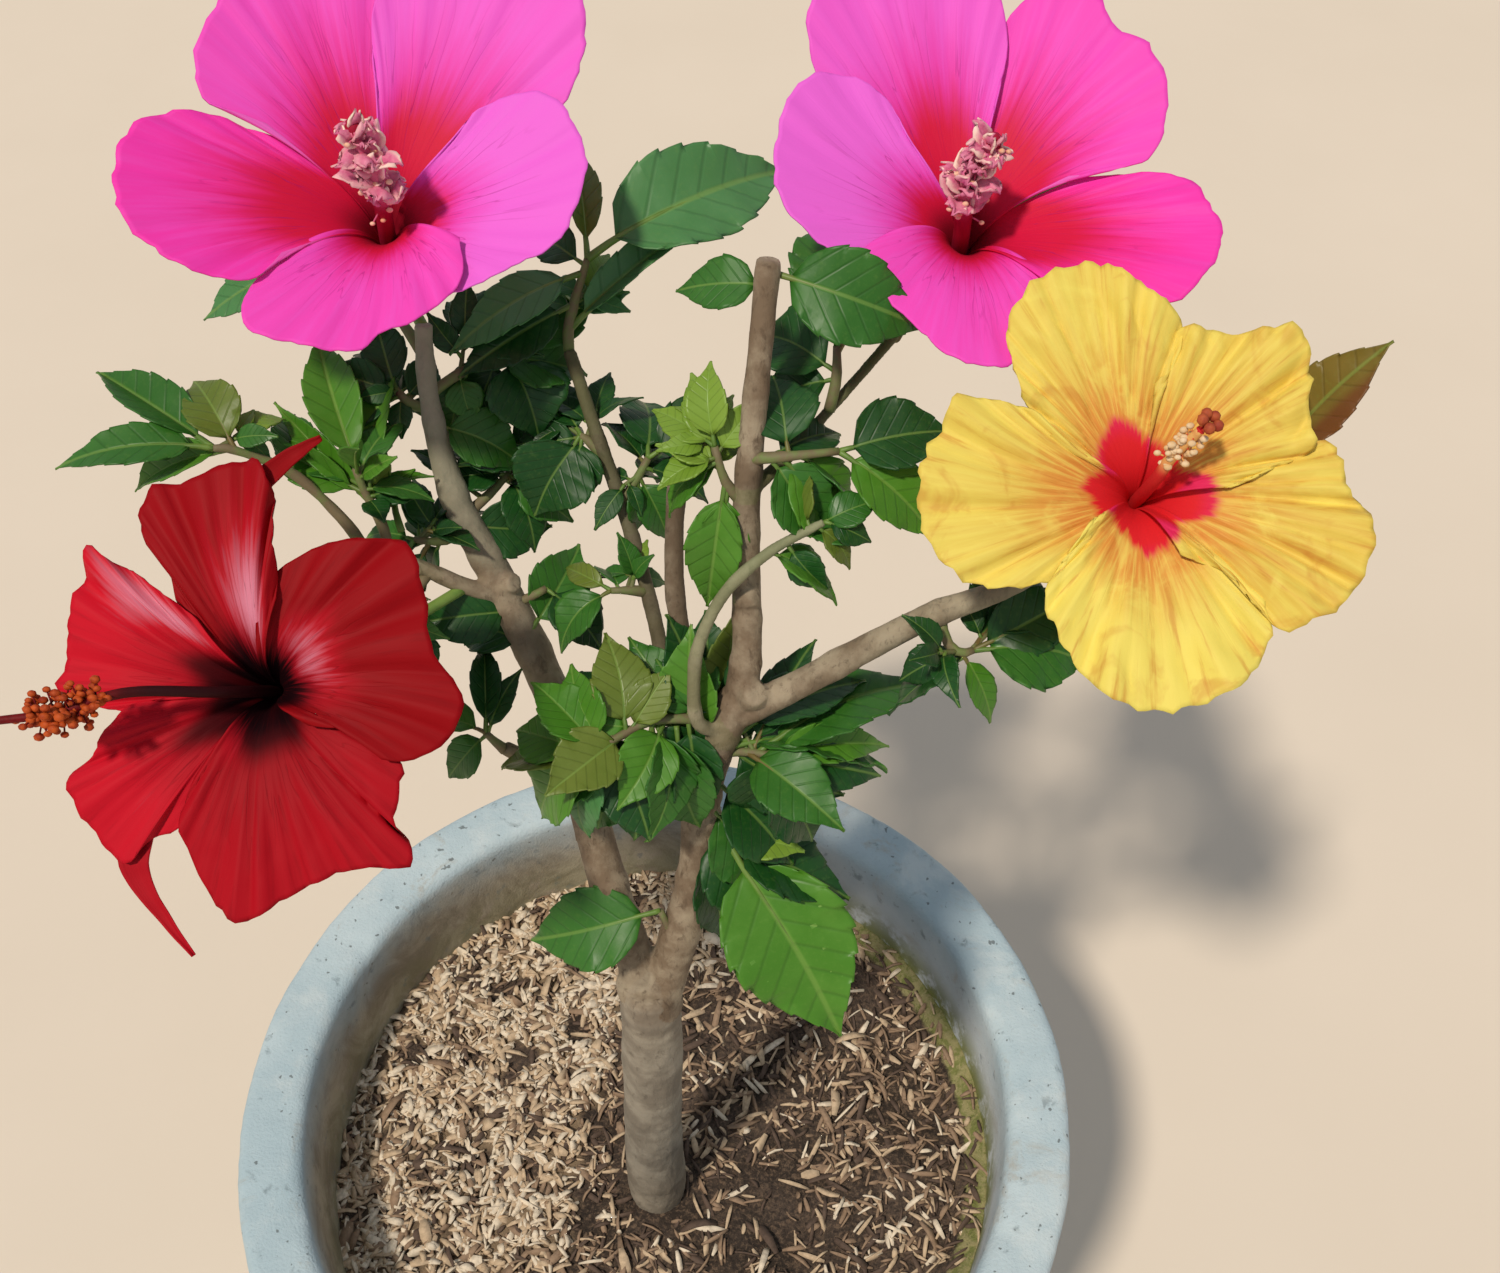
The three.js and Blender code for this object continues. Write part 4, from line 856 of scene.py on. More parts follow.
# single leaves from buds on the boughs: seat, direction, rise, reach, width, tone
strays = [
    ((30, 8, 550), 100, 55, 36, 20, "dark"), ((27, 10, 548), 122, 62, 38, 20, "dark"),
    ((22, 8, 548), 138, 42, 34, 20, "mid"), ((33, 12, 552), 78, 62, 34, 16, "olive"),
    ((24, 6, 545), 98, 70, 40, 18, "bright"), ((29, 9, 548), 150, 30, 30, 18, "olive"),
    ((33, 4, 543), 345, -25, 44, 24, "dark"), ((36, 3, 545), 4, -14, 52, 24, "mid"),
    ((30, 0, 530), 330, -45, 40, 24, "dark"), ((27, -2, 520), 340, -50, 40, 24, "mid"),
    ((38, 6, 548), 24, 8, 44, 20, "dark"), ((26, -4, 510), 322, -46, 46, 26, "dark"),
    ((24, -5, 500), 300, -60, 40, 22, "dark"), ((4, 1, 556), 205, -38, 40, 24, "mid"),
    ((-4, -5, 557), 240, -62, 36, 20, "bluish"), ((12, 3, 556), 275, -34, 36, 20, "mid"),
    ((-8, -9, 556), 168, -28, 34, 19, "olive"), ((-6, -8, 557), 135, 24, 30, 17, "bright"),
    ((6, 2, 557), 262, -66, 42, 22, "dark"), ((18, 4, 554), 290, -64, 40, 20, "mid"),
    ((60, 18, 629), 330, -40, 16, 9, "olive"), ((62, 18, 631), 350, -20, 15, 8, "dark"),
    ((61, 18, 630), 20, 12, 18, 10, "mid"), ((58, 18, 628), 100, 28, 20, 11, "olive"),
    ((107, 5, 590), 205, -34, 32, 22, "dark"), ((-31, 38, 553), 150, -10, 30, 17, "dark"),
    ((-36, 45, 562), 200, 10, 32, 17, "dark"), ((-30, 40, 558), 60, 20, 34, 19, "mid"),
    ((-22, 28, 530), 40, 10, 22, 12, "dark"), ((-2, -4, 557), 300, -46, 34, 20, "dark"),
    ((2, -2, 557), 226, 2, 32, 19, "olive"), ((14, 3, 556), 246, -10, 30, 17, "bright"),
    ((52, 17, 622), 330, -40, 17, 10, "dark"), ((46, 17, 620), 340, -30, 26, 17, "bright"),
    ((54, 18, 625), 20, -14, 24, 15, "mid"), ((-50, 58, 588), 20, -20, 30, 17, "dark"),
    ((-54, 66, 606), 10, -6, 28, 15, "dark"), ((-56, 72, 618), 352, -24, 30, 17, "mid"),
    ((52, 32, 643), 100, 16, 28, 19, "dark"), ((47, 33, 642), 40, -12, 28, 16, "dark"),
    ((46, 55, 689), 352, -18, 46, 23, "mid"), ((-66, 44, 600), 99, 16, 62, 13, "bright"),
]
sideShoots = {"leaves_behind_yellow": (60, 90), "leaves_behind_pink_left": (70, 110),
              "leaves_behind_pink_right": (70, 110)}
leaf = {
    "seed": 41, "straySeed": 90000, "roll": 0.2, "tilt": 0.3, "light": (0, -0.25, 1),
    "stalkShare": 0.13, "belly": 0.72, "fullness": 0.65, "point": 0.6, "broad": 1.12, "thick": 0.45,
    "teeth": 7, "tooth": 0.07, "quilt": 0.075, "veins": 7, "veinSlant": 0.85,
    "arch": (0.021, 0.154), "fold": (0.06, 0.38), "droop": (-0.02, 0.13), "twist": 0.35, "ruffle": 0.05,
    "bend": 0.06, "narrow": 0.32, "narrowFold": 2.5,  # leaves narrower than this share fold up more
    "small": 30,  # below this reach, a coarser mesh
    "stalk": 0.6, "midrib": 0.25, "stem": (1.9, 1.1), "shootLength": (18, 28), "shootPlace": (0.55, 0.9),
    "shootRise": (-10, 20), "shootLeaf": (30, 42), "slim": 0.5, "spread": 55, "sag": 8,
    "buds": 2, "budPlace": (0.35, 1), "budRise": (-20, 45), "budStem": (0.9, 0.6), "budLength": (4, 11),
    "budLeaf": (11, 21), "budSlim": 0.42, "budTurns": (-60, 10, 70),
    "budsBehind": 0.7, "behind": (30, 150),  # the share of buds that point to the back
    "budless": ("leaf_upright_tip", "leaves_upright_right", "leaves_upright_top", "leaf_fork",
                "leaf_bough_side", "leaves_low_twig", "leaves_low_front"),
    "companionTurn": (30, 75), "companionSag": (-5, 25), "companionReach": (0.6, 0.9),
    "companionWidth": (0.7, 0.95),
    "companions": ("leaves_low_left", "leaves_right_bough", "leaves_under_pink_left", "leaves_left_back",
                   "leaves_centre_left", "leaves_centre_right", "leaves_upright", "leaves_left_low",
                   "leaves_behind_yellow", "leaves_behind_pink_left", "leaves_behind_pink_right",
                   "leaves_behind_red", "leaves_left_shoot", "leaves_left_high"),
    # the dark, mid and bright tones are lit and shaded copies of one leaf green, part the leaves' own tone,
    # part painted shade and painted light; the bluish tone is green with a painted reflection of the sky
    "tones": {"dark": ("133f14", "265a24"), "mid": ("2b5f1b", "417a2c"), "bright": ("3f7618", "5c9030"),
              "young": ("6c8f2a", "8aa644"), "olive": ("566a20", "748438"), "bluish": ("3f763c", "5c925c"),
              "brown": ("6d5f22", "8c7634")},
    # the crease share darkens the leaf colour along the side veins as painted shade
    "vein": "7fa04a", "creaseShade": 0.45, "stalkColour": "56762c", "stalkRed": "774034", "scorch": "6b3a1c",
}


# A repeatable stream of numbers from 0 to 1
def stream(seed):
    state = seed
    while True:
        state = (state * 1664525 + 1013904223) & 0xFFFFFFFF
        yield state / 4294967296


def addLeaf(heap, stalks, root, shape, roll, seed):
    azimuth, rise, reach, width = shape
    rng = np.random.RandomState(seed)
    along = heading(azimuth, rise)
    light = np.array(leaf["light"], float)
    face = rolled(along, unit(light - along * light.dot(along)), roll + leaf["tilt"] * math.sin(seed * 1.7))
    side = np.cross(along, face)
    small = reach < leaf["small"]
    teeth = max(4, int(round(leaf["teeth"] * (reach / 50) ** 0.4)))
    phases = np.array([0, 0.5, 0.9]) if small else np.array([0, 0.4, 0.75, 0.95])
    b = np.append((np.arange(teeth)[:, None] + phases).reshape(-1) / teeth, 1.0)[:, None]
    half = [0.12, 0.5, 0.85, 1] if small else [0.08, 0.3, 0.55, 0.8, 0.93, 1]
    w = np.array(half[::-1] + [0] + [-c for c in half])[None, :]
    rim = np.abs(w) ** 5
    saw = (b * teeth) % 1.0
    belly = np.clip(np.sin(math.pi * b ** leaf["belly"]), 0, 1) ** (leaf["fullness"] + leaf["point"] * b)
    toothed = 1 + leaf["tooth"] * (saw - 0.4) * rim * ease(b, 0.1, 0.3)
    across = w * np.maximum(0.35, leaf["broad"] * width / 2 * belly) * toothed
    beside = np.abs(across)
    share = leaf["stalkShare"]
    s = share + (1 - share) * b + 0.008 * saw * rim
    blade = reach * (1 - share)
    droop = rng.uniform(*leaf["droop"])
    fold = rng.uniform(*leaf["fold"]) * (leaf["narrowFold"] if width < leaf["narrow"] * reach else 1)
    veins = np.cos(2 * math.pi * (b - beside / blade * leaf["veinSlant"]) * leaf["veins"])
    arch = rng.uniform(*leaf["arch"])
    lift = (arch * reach * 4 * s * (1 - s) + fold * beside - droop * reach * b**2 * 1.6
            - leaf["quilt"] * width / 2 * veins * np.abs(w) * (1.1 - np.abs(w)) * 0.9
            + leaf["ruffle"] * width * w**2 * waver(b * 9 + 3 * np.sign(w), seed))
    turn = leaf["twist"] * rng.uniform(-1, 1) * (b - 0.3)
    bend = rng.uniform(-leaf["bend"], leaf["bend"]) * width * np.sin(math.pi * b)
    p = laid(root, (along, side, face), reach * s, across * np.cos(turn) + bend, lift + across * np.sin(turn))
    heap.sheet(p, leaf["thick"], spread(across / blade, b), rng.rand())
    t = np.linspace(0, share, 5)[:, None]
    stalk = root + along * (reach * t) + face * (arch * reach * 4 * t * (1 - t) - 0.1)
    midrib = p[:, len(half)] - face * 0.35
    line = np.vstack([stalk[:-1], midrib[:int(len(midrib) * 0.85):2]])
    stalks.tube(line, np.linspace(leaf["stalk"] + reach / 90, leaf["midrib"], len(line)), 5, rng.rand())


def makeLeaves():
    heaps = {tone: Gather() for tone in leaf["tones"]}
    nodes = {tone: [] for tone in leaf["tones"]}
    stalks, stems = Gather(), Gather()
    for k, (name, (stem, leaves, space)) in enumerate(masses.items()):
        drawn = stream(leaf["seed"] + k)
        middle, radius = np.array(space[:3], float), space[3]
        long = lineLength(stem) / 3
        t = np.linspace(0, 1, max(6, int(long)))
        r = leaf["stem"][0] + (leaf["stem"][1] - leaf["stem"][0]) * t
        stems.tube(curveAt(stem, t), r * (1 + 0.12 * waver(t * long, k)), 12, 0.3)
        tones = [tone for *_, tone in leaves]
        main = max(sorted(set(tones)), key=tones.count)
        nodes[main].append(name)
        seed = 1000 * k

        def draw(low, high):
            return low + (high - low) * next(drawn)

        def leafAt(root, shape, tone, roll):
            if np.linalg.norm(root + heading(*shape[:2]) * shape[2] - middle) <= radius:
                addLeaf(heaps[tone], stalks, root, shape, roll, seed)

        for at, *shape, tone in leaves:
            seed += 1
            leafAt(curveAt(stem, at)[0], shape, tone, draw(-leaf["roll"], leaf["roll"]))
        fill = np.random.RandomState(seed + 300)
        for at, azimuth, rise, reach, width, tone in leaves if name in leaf["companions"] else []:
            seed += 1
            shape = (azimuth + fill.choice([-1, 1]) * fill.uniform(*leaf["companionTurn"]),
                     rise - fill.uniform(*leaf["companionSag"]),
                     reach * fill.uniform(*leaf["companionReach"]),
                     width * fill.uniform(*leaf["companionWidth"]))
            leafAt(curveAt(stem, at * fill.uniform(0.7, 1))[0], shape, tone, fill.uniform(-0.5, 0.5))
        if name in sideShoots:
            azimuth = draw(*sideShoots[name])
            rise = draw(*leaf["shootRise"])
            root = curveAt(stem, draw(*leaf["shootPlace"]))[0]
            end = root + heading(azimuth, rise) * draw(*leaf["shootLength"])
            stems.tube(np.linspace(root, end, 8), leaf["stem"][1], 10, 0.4)
            for side in (-1, 0, 1):
                seed += 1
                reach = draw(*leaf["shootLeaf"])
                seat = end if side == 0 else root + (end - root) * 0.7
                shape = (azimuth + leaf["spread"] * side, rise - leaf["sag"], reach, leaf["slim"] * reach)
                leafAt(seat, shape, "mid", draw(-leaf["roll"], leaf["roll"]))
        # finer twigs: short spurs along the stem, each with a few young leaves
        rng = np.random.RandomState(seed + 500)
        for _ in range(0 if name in leaf["budless"] else leaf["buds"]):
            root = curveAt(stem, rng.uniform(*leaf["budPlace"]))[0]
            azimuth = rng.uniform(*(leaf["behind"] if rng.rand() < leaf["budsBehind"] else (0, 360)))
            rise = rng.uniform(*leaf["budRise"])
            end = root + heading(azimuth, rise) * rng.uniform(*leaf["budLength"])
            stems.tube(np.linspace(root, end, 5), np.linspace(*leaf["budStem"], 5), 8, 0.8)
            for turn in leaf["budTurns"]:
                seed += 1
                tip = turn == leaf["budTurns"][1]
                reach = rng.uniform(*leaf["budLeaf"])
                shape = (azimuth + turn + rng.uniform(-15, 15), rise + rng.uniform(-30, 20),
                         reach, reach * leaf["budSlim"])
                seat = end if tip else root + (end - root) * rng.uniform(0.5, 1)
                leafAt(seat, shape, "young" if tip and main != "dark" else main, rng.uniform(-0.4, 0.4))
    for seed, (seat, *shape, tone) in enumerate(strays):
        roll = 0.6 * math.sin(seed * 2.4)
        addLeaf(heaps[tone], stalks, np.array(seat, float), shape, roll, leaf["straySeed"] + seed)
    for tone, heap in heaps.items():
        word, colours = tone.capitalize(), leaf["tones"][tone]
        finishes = [leafFinish("leaf" + word, *colours), leafUnder("under" + word, *colours)]
        newPiece("leaves" + word, heap, finishes, nodes[tone])
    newPiece("leafStalks", stalks, [stalkFinish()])
    newPiece("twigs", stems, [twigFinish()])


def leafVeins(f, width):
    x, y = f.ownPlace()
    beside = f.sums("ABSOLUTE", x)
    slanted = f.sums("MULTIPLY_ADD", beside, -leaf["veinSlant"], y)
    return beside, f.lines(f.times(slanted, leaf["veins"]), width)


def leafFinish(name, colour, pale):
    f = Finish(name, Roughness=0.42, Specular_IOR_Level=0.35)
    beside, sideVein = leafVeins(f, 0.13)
    midrib = f.between(beside, 0.022, 0.006)
    netted, patch = f.mottle(1.6, 4, 0.6), f.mottle(14, 3)
    toned = f.layers(f.blend(f.times(f.ownShade(), 0.45), colour, pale), (patch, 0.4, 0.7, 0.35, pale),
                     (netted, 0.5, 0.75, 0.1, leaf["vein"]))
    # painted shade: the side veins, sunk in the creases of the quilted blade, are darkened
    toned = f.blend(f.times(sideVein, 0.3), toned, dimmed(colour, leaf["creaseShade"]))
    if name == "leafBrown":  # scorched along one side
        toned = f.layers(toned, (f.ownPlace()[0], 0.05, 0.15, 0.8, leaf["scorch"]))
    toned = f.blend(f.times(midrib, 0.4), toned, leaf["vein"])
    high = f.sums("MULTIPLY_ADD", f.sums("MAXIMUM", sideVein, midrib), -1.0, f.times(netted, 0.35))
    return f.done(toned, high, 0.3, 0.4, f.between(patch, 0.3, 0.7, 0.36, 0.52))


def leafUnder(name, colour, pale):
    f = Finish(name, Roughness=0.65)
    sideVein = leafVeins(f, 0.08)[1]
    toned = f.layers(pale, (f.mottle(8, 4), 0.3, 0.7, 1, colour))
    return f.done(f.blend(f.times(sideVein, 0.5), toned, leaf["vein"]), sideVein, 0.4, 0.5)


def stalkFinish():
    f = Finish("leafStalk", Roughness=0.5)
    return f.done(f.layers(leaf["stalkColour"], (f.mottle(12, 3), 0.4, 0.65, 0.5, leaf["vein"]),
                           (f.ownShade(), 0.75, 1.0, 0.6, leaf["stalkRed"])))


def twigFinish():
    f = Finish("youngTwig", Roughness=0.7)
    patch = f.mottle(7, 5, 0.65)
    colour = f.layers(bark["boughColour"], (patch, 0.4, 0.65, 1, bark["young"]))
    return f.done(f.blend(f.times(f.ownShade(), 0.5), colour, leaf["stalkColour"]), patch, 0.5, 0.6)


makeLeaves()


# Blooms. throat: the mouth of the flower; faces: where it looks. Each petal's rim runs round the bloom as
# (degrees from the right, reach from the mouth), and a tint says how pale it is. lap says which edge lies
# on top of its neighbour: 1 is the edge with more degrees.

blooms = {
    "bloom_pink_left": {
        "kind": "pink", "throat": (-63, 86, 688), "faces": (0.1, -0.38, 0.92), "tube": 26, "rise": 17,
        "lap": 1, "stalk": (-57, 84, 646), "seed": 11,
        "rims": [
            ([(-62, 34), (-48, 39), (-27, 47), (-18, 53), (-4, 56), (8, 58), (21, 57), (32, 54), (40, 46),
              (45, 37), (43, 27)], 1.0),
            ([(20, 38), (28, 57), (34, 66), (40, 73), (47, 79), (60, 81), (75, 78), (86, 69), (93, 57),
              (95, 44), (94, 32)], 0.75),
            ([(84, 36), (86, 58), (94, 70), (107, 76), (120, 74), (132, 67), (145, 61), (153, 55), (156, 50),
              (150, 36)], 0.45),
            ([(148, 28), (154, 40), (158, 49), (163, 57), (171, 64), (183, 67), (197, 66), (207, 61),
              (216, 55), (227, 44), (222, 32)], 0.12),
            ([(218, 28), (228, 46), (236, 55), (243, 56), (256, 54), (269, 53), (276, 47), (289, 44),
              (305, 39), (314, 36), (330, 27)], 0.35)]},
    "bloom_pink_right": {
        "kind": "pink", "throat": (103, 84, 686), "faces": (0.02, -0.38, 0.92), "tube": 26, "rise": 17,
        "lap": -1, "stalk": (92, 88, 651), "seed": 12,
        "rims": [
            ([(131, 27), (128, 38), (134, 49), (142, 56), (153, 58), (163, 57), (176, 56), (187, 53),
              (198, 47), (209, 41), (220, 36)], 1.0),
            ([(77, 29), (77, 46), (80, 55), (84, 63), (92, 73), (104, 78), (117, 77), (130, 71), (136, 64),
              (142, 54), (148, 42)], 0.75),
            ([(18, 28), (11, 45), (15, 52), (24, 58), (31, 62), (42, 65), (51, 64), (58, 68), (67, 69),
              (76, 62), (83, 48)], 0.4),
            ([(-54, 32), (-46, 46), (-38, 60), (-31, 64), (-22, 66), (-13, 66), (-4, 61), (4, 57), (10, 45),
              (18, 32)], 0.12),
            ([(202, 26), (208, 35), (218, 40), (235, 42), (248, 46), (258, 52), (267, 54), (275, 54),
              (286, 50), (300, 42), (312, 32)], 0.4)]},
    "bloom_yellow": {
        "kind": "yellow", "throat": (143, 0, 662), "faces": (-0.12, -0.56, 0.82), "tube": 24, "rise": 5,
        "lap": -1, "stalk": (131, 17, 617), "seed": 13,
        "rims": [
            ([(83, 27), (75, 34), (76, 44), (84, 49), (93, 55), (100, 60), (108, 61), (116, 61), (124, 58),
              (130, 54), (136, 45), (142, 38), (148, 28)], 0.5),
            ([(-2, 22), (7, 33), (12, 43), (25, 45), (34, 51), (40, 54), (46, 56), (52, 51), (62, 45),
              (75, 43), (86, 34)], 0.4),
            ([(-64, 20), (-49, 30), (-50, 40), (-49, 50), (-43, 53), (-34, 57), (-26, 58), (-19, 58),
              (-9, 56), (-2, 50), (10, 49), (14, 45), (20, 35)], 0.3),
            ([(212, 16), (224, 33), (228, 39), (236, 43), (247, 49), (258, 55), (269, 58), (278, 58),
              (287, 57), (297, 55), (307, 50), (312, 44), (320, 34)], 0.85),
            ([(147, 17), (152, 25), (144, 33), (147, 42), (153, 54), (161, 54), (170, 57), (181, 58),
              (190, 58), (198, 56), (207, 52), (216, 44), (226, 33)], 0.55)]},
    "bloom_red": {
        "kind": "red", "throat": (-93, -31, 616), "faces": (-0.02, -0.62, 0.78), "tube": 26, "rise": -4,
        "lap": -1, "stalk": (-49, 45, 574), "seed": 14,
        "rims": [
            ([(-30, 18), (-20, 32), (-27, 39), (-22, 48), (-12, 55), (-2, 57), (3, 54), (13, 50), (27, 52),
              (38, 56), (46, 57), (61, 47), (74, 38), (90, 27)], 0.15),
            ([(76, 26), (80, 35), (84, 46), (86, 56), (90, 63), (101, 62), (108, 60), (117, 63), (123, 59),
              (127, 51), (127, 41), (133, 32)], 0.2),
            ([(128, 25), (133, 37), (135, 45), (138, 52), (139, 61), (145, 57), (152, 56), (161, 54),
              (173, 53), (179, 54), (184, 47), (189, 36)], 0.85),
            ([(184, 24), (188, 36), (201, 46), (205, 56), (214, 57), (222, 58), (229, 59), (234, 57),
              (234, 50), (240, 43), (246, 32)], 0.8),
            ([(236, 28), (241, 40), (252, 50), (260, 58), (268, 62), (280, 56), (295, 54), (304, 57),
              (311, 63), (315, 60), (317, 52), (327, 47), (334, 44), (341, 33)], 0.45)],
        # two curled strips: line, widths, tint
        "tongues": [
            ([(-31, -32, -6), (-33.5, -46, -6), (-29, -57, -7), (-18, -72, -9)], (9, 8.5, 4.5, 1), 0.7),
            ([(-6, 51, -7), (1, 58, -6), (10, 64, -2), (19, 68, 2)], (8, 6.5, 4.5, 1.5), 0.1)]},
}
petal = {
    "rows": 66, "cols": 56, "thick": 0.45, "claw": 1.4, "overlap": 0.3,
    "riseReach": 60, "mostReach": 85,  # where the rim stands at a bloom's rise, and where it rises no more
    "mouthSpread": 0.22, "mouthRise": 0.15, "ruffleSizes": (4.2, 1.9), "ragSize": 1.6,
    "pleats": 9, "crinkles": 19,
    "pink": {"throat": (3.5, -1), "mouth": (14, 2), "lips": (0, 0, 0, 0, 5), "ruffle": 0.8, "pleat": 0.3,
             "cup": 2.5, "crinkle": 0.15, "ragged": 0.008, "lapStep": 1.6,
             "glow": (0.5, 0.64, 0.66, 0.69, 0.48)},  # how far out the warm middle of each petal reaches
    "yellow": {"throat": (4, -4), "mouth": (6, 2), "lips": (0, 0, 0, 0, 0), "ruffle": 2.4, "pleat": 0.9,
               "cup": 3.5, "crinkle": 1.4, "ragged": 0.014, "lapStep": 0.9},
    "red": {"throat": (4.5, -6), "mouth": (5, 2), "lips": (0, 0, 0, 0, 0), "ruffle": 2.0, "pleat": 0.8,
            "cup": 5.5, "crinkle": 0.3, "ragged": 0.008, "lapStep": 1.6},
}


def bloomAxes(bloom):
    axis = unit(bloom["faces"])
    right = unit(np.array([1.0, 0, 0]) - axis * axis[0])
    return right, np.cross(axis, right), axis


def inBloom(bloom, x, y, z):
    return laid(bloom["throat"], bloomAxes(bloom), x, y, z)


def roundBloom(bloom, r, angle, z):
    return inBloom(bloom, r * np.cos(angle), r * np.sin(angle), z)


def makePetal(bloom, k):
    rim = np.array(bloom["rims"][k][0], float)
    form = petal[bloom["kind"]]
    s = (np.linspace(0, 1, petal["rows"]) ** 0.85)[:, None]
    w = np.linspace(-1, 1, petal["cols"])[None, :]
    # even steps along the rim
    corners = onRings(rim[:, 1], np.radians(rim[:, 0]), 0)[:, :2]
    drawn = curveAt(corners, np.linspace(0, 1, 400))
    far = np.concatenate([[0], np.cumsum(np.linalg.norm(np.diff(drawn, axis=0), axis=1))])
    rimPlace = (w + 1) / 2 * far[-1]
    edge = np.stack([np.interp(rimPlace[0], far, drawn[:, i]) for i in (0, 1)], -1)
    reach = np.linalg.norm(edge, axis=1)[None, :]
    degrees = np.degrees(np.unwrap(np.arctan2(edge[:, 1], edge[:, 0])))
    degrees = (degrees + 360 * round((rim[0, 0] - degrees[0]) / 360))[None, :]
    span = rim[-1, 0] - rim[0, 0]
    even = rim[0, 0] + span * ((w + 1) / 2 + petal["overlap"] / 2 * w * (1 - s) ** 2)
    angle = np.radians(even + (degrees - even) * s**1.4)
    # the rise from claw through throat and mouth to the rim
    tip = bloom["rise"] * (np.minimum(reach, petal["mostReach"]) / petal["riseReach"]) ** 1.3
    a, b, c, d = (1 - s) ** 3, 3 * s * (1 - s) ** 2, 3 * s * s * (1 - s), s**3
    (throatR, throatZ), (mouthR, mouthZ) = form["throat"], form["mouth"]
    mouthZ = mouthZ + form["lips"][k]
    r = a * petal["claw"] + b * throatR + c * (mouthR + petal["mouthSpread"] * reach) + d * reach
    z = a * -bloom["tube"] + b * throatZ + c * (mouthZ + petal["mouthRise"] * tip) + d * tip
    z = z + bloom["lap"] * form["lapStep"] * w * (0.25 + s)
    # folds
    seed = bloom["seed"] * 10 + k
    blade = ease(s, 0.35, 1.0)
    wide, fine = petal["ruffleSizes"]
    ruffle = waver(rimPlace / wide, seed) + 0.5 * waver(rimPlace / fine, seed + 50)
    pleats = waver(w * petal["pleats"] + waver(s * 5, seed) * 0.6, seed + 99, 3)
    crinkles = waver(w * petal["crinkles"] + 1.5 * waver(s * 11, seed + 3), seed + 5) * waver(s * 9, seed + 6)
    z = z + form["ruffle"] * blade**2 * ruffle * (1 - 0.6 * w**6)
    z = z + blade * (form["pleat"] * (1 - 0.5 * s) * pleats + form["crinkle"] * crinkles)
    z = z - form["cup"] * blade * (w**2 - 0.4) * 0.5
    r = r * (1 + form["ragged"] * blade**4 * waver(rimPlace / petal["ragSize"], seed + 7))
    shade = petalShade(bloom, k, s, w, r, np.degrees(angle))
    return roundBloom(bloom, r, angle, z), petal["thick"], spread((w + 1) / 2, s), shade


redPetal = {
    "dark": (0.0, 0.1, 1.0, 0.9, 0.3),  # the dark middle of each petal
    # the painted highlight on the lit side of each petal's folds: strength, place from throat to rim, its
    # length, place across and its width
    "paintedSheen": [(0.7, 0.56, 0.17, 0.15, 0.7), (1.0, 0.6, 0.28, -0.3, 0.55), (1.0, 0.8, 0.24, -0.4, 0.6),
              (0.5, 0.82, 0.15, 0.1, 0.6), (0.4, 0.55, 0.15, -0.8, 0.3)],
}


# A narrow curled strip of petal
def makeTongue(bloom, points, widths):
    s = np.linspace(0, 1, 26)
    line = curveAt(points, s)
    across = unit(np.cross(unit(np.gradient(line, axis=0)), [0, 0, 1.0]))
    w = np.linspace(1, -1, 9)
    half = np.interp(s, np.linspace(0, 1, len(widths)), widths)[:, None] / 2
    at = line[:, None, :] - across[:, None, :] * (half * w)[..., None]
    at[..., 2] += 0.9 * (w**2 - 0.3) + 0.5 * waver(s * 9, bloom["seed"])[:, None]
    places = spread((w + 1) / 2, 0.75 + 0.24 * s[:, None])
    return inBloom(bloom, *np.moveaxis(at, -1, 0)), petal["thick"], places


star = [(112, 18), (176, 13), (282, 16), (350, 18), (58, 12)]  # arms of the yellow bloom's red star


def petalShade(bloom, k, s, w, r, degrees):
    if bloom["kind"] == "yellow":
        arm = np.zeros_like(r * degrees)
        for at, length in star:
            off = (degrees - at + 180) % 360 - 180
            arm = np.maximum(arm, (length - 9) * np.exp(-(off / 30) ** 2))
        return np.clip((10.5 + arm + 1.2 * waver(np.radians(degrees) * 9, 8) - r) / 8 + 0.5, 0, 1)
    if bloom["kind"] == "red":
        middle = redPetal["dark"][k] * np.exp(-(w / 0.32) ** 2) * (1 - ease(s, 0.5, 0.95))
        # the shade value rises above 0.5 with the painted highlight
        strength, at, long, off, wide = redPetal["paintedSheen"][k]
        paintedSheen = strength * np.exp(-((s - at) / long) ** 2 - ((w - off) / wide) ** 2)
        return np.clip(0.5 - 0.5 * middle + 0.5 * paintedSheen, 0, 1)
    glow = petal["pink"]["glow"][k] * (1 - 0.1 * w**2) + 0.02 * waver(w * 6, bloom["seed"] + k)
    return np.clip((s - glow) + 0.5, 0, 1)


petalPaint = {
    "pink": {"deep": "8c0a22", "crimson": "cf103e", "hot": "e41c74", "hotPale": "e23cae", "outer": "f02ca4",
             "outerPale": "e764d4", "vein": "9c1070", "under": "dc7cc0"},
    "yellow": {"star": "d8222a", "starTip": "d82458", "blush": "d68a3c", "middle": "d4a444",
               "outer": "d6b048", "outerPale": "e9d868", "vein": "c0782c", "under": "d8bc5c"},
    "red": {"deep": "170206", "maroon": "430309", "middle": "7d0509", "middlePale": "b40f22",
            "outer": "800406", "outerPale": "cc142a", "paintedSheen": "dd8fa6", "vein": "56040a", "under": "96181e"},
}


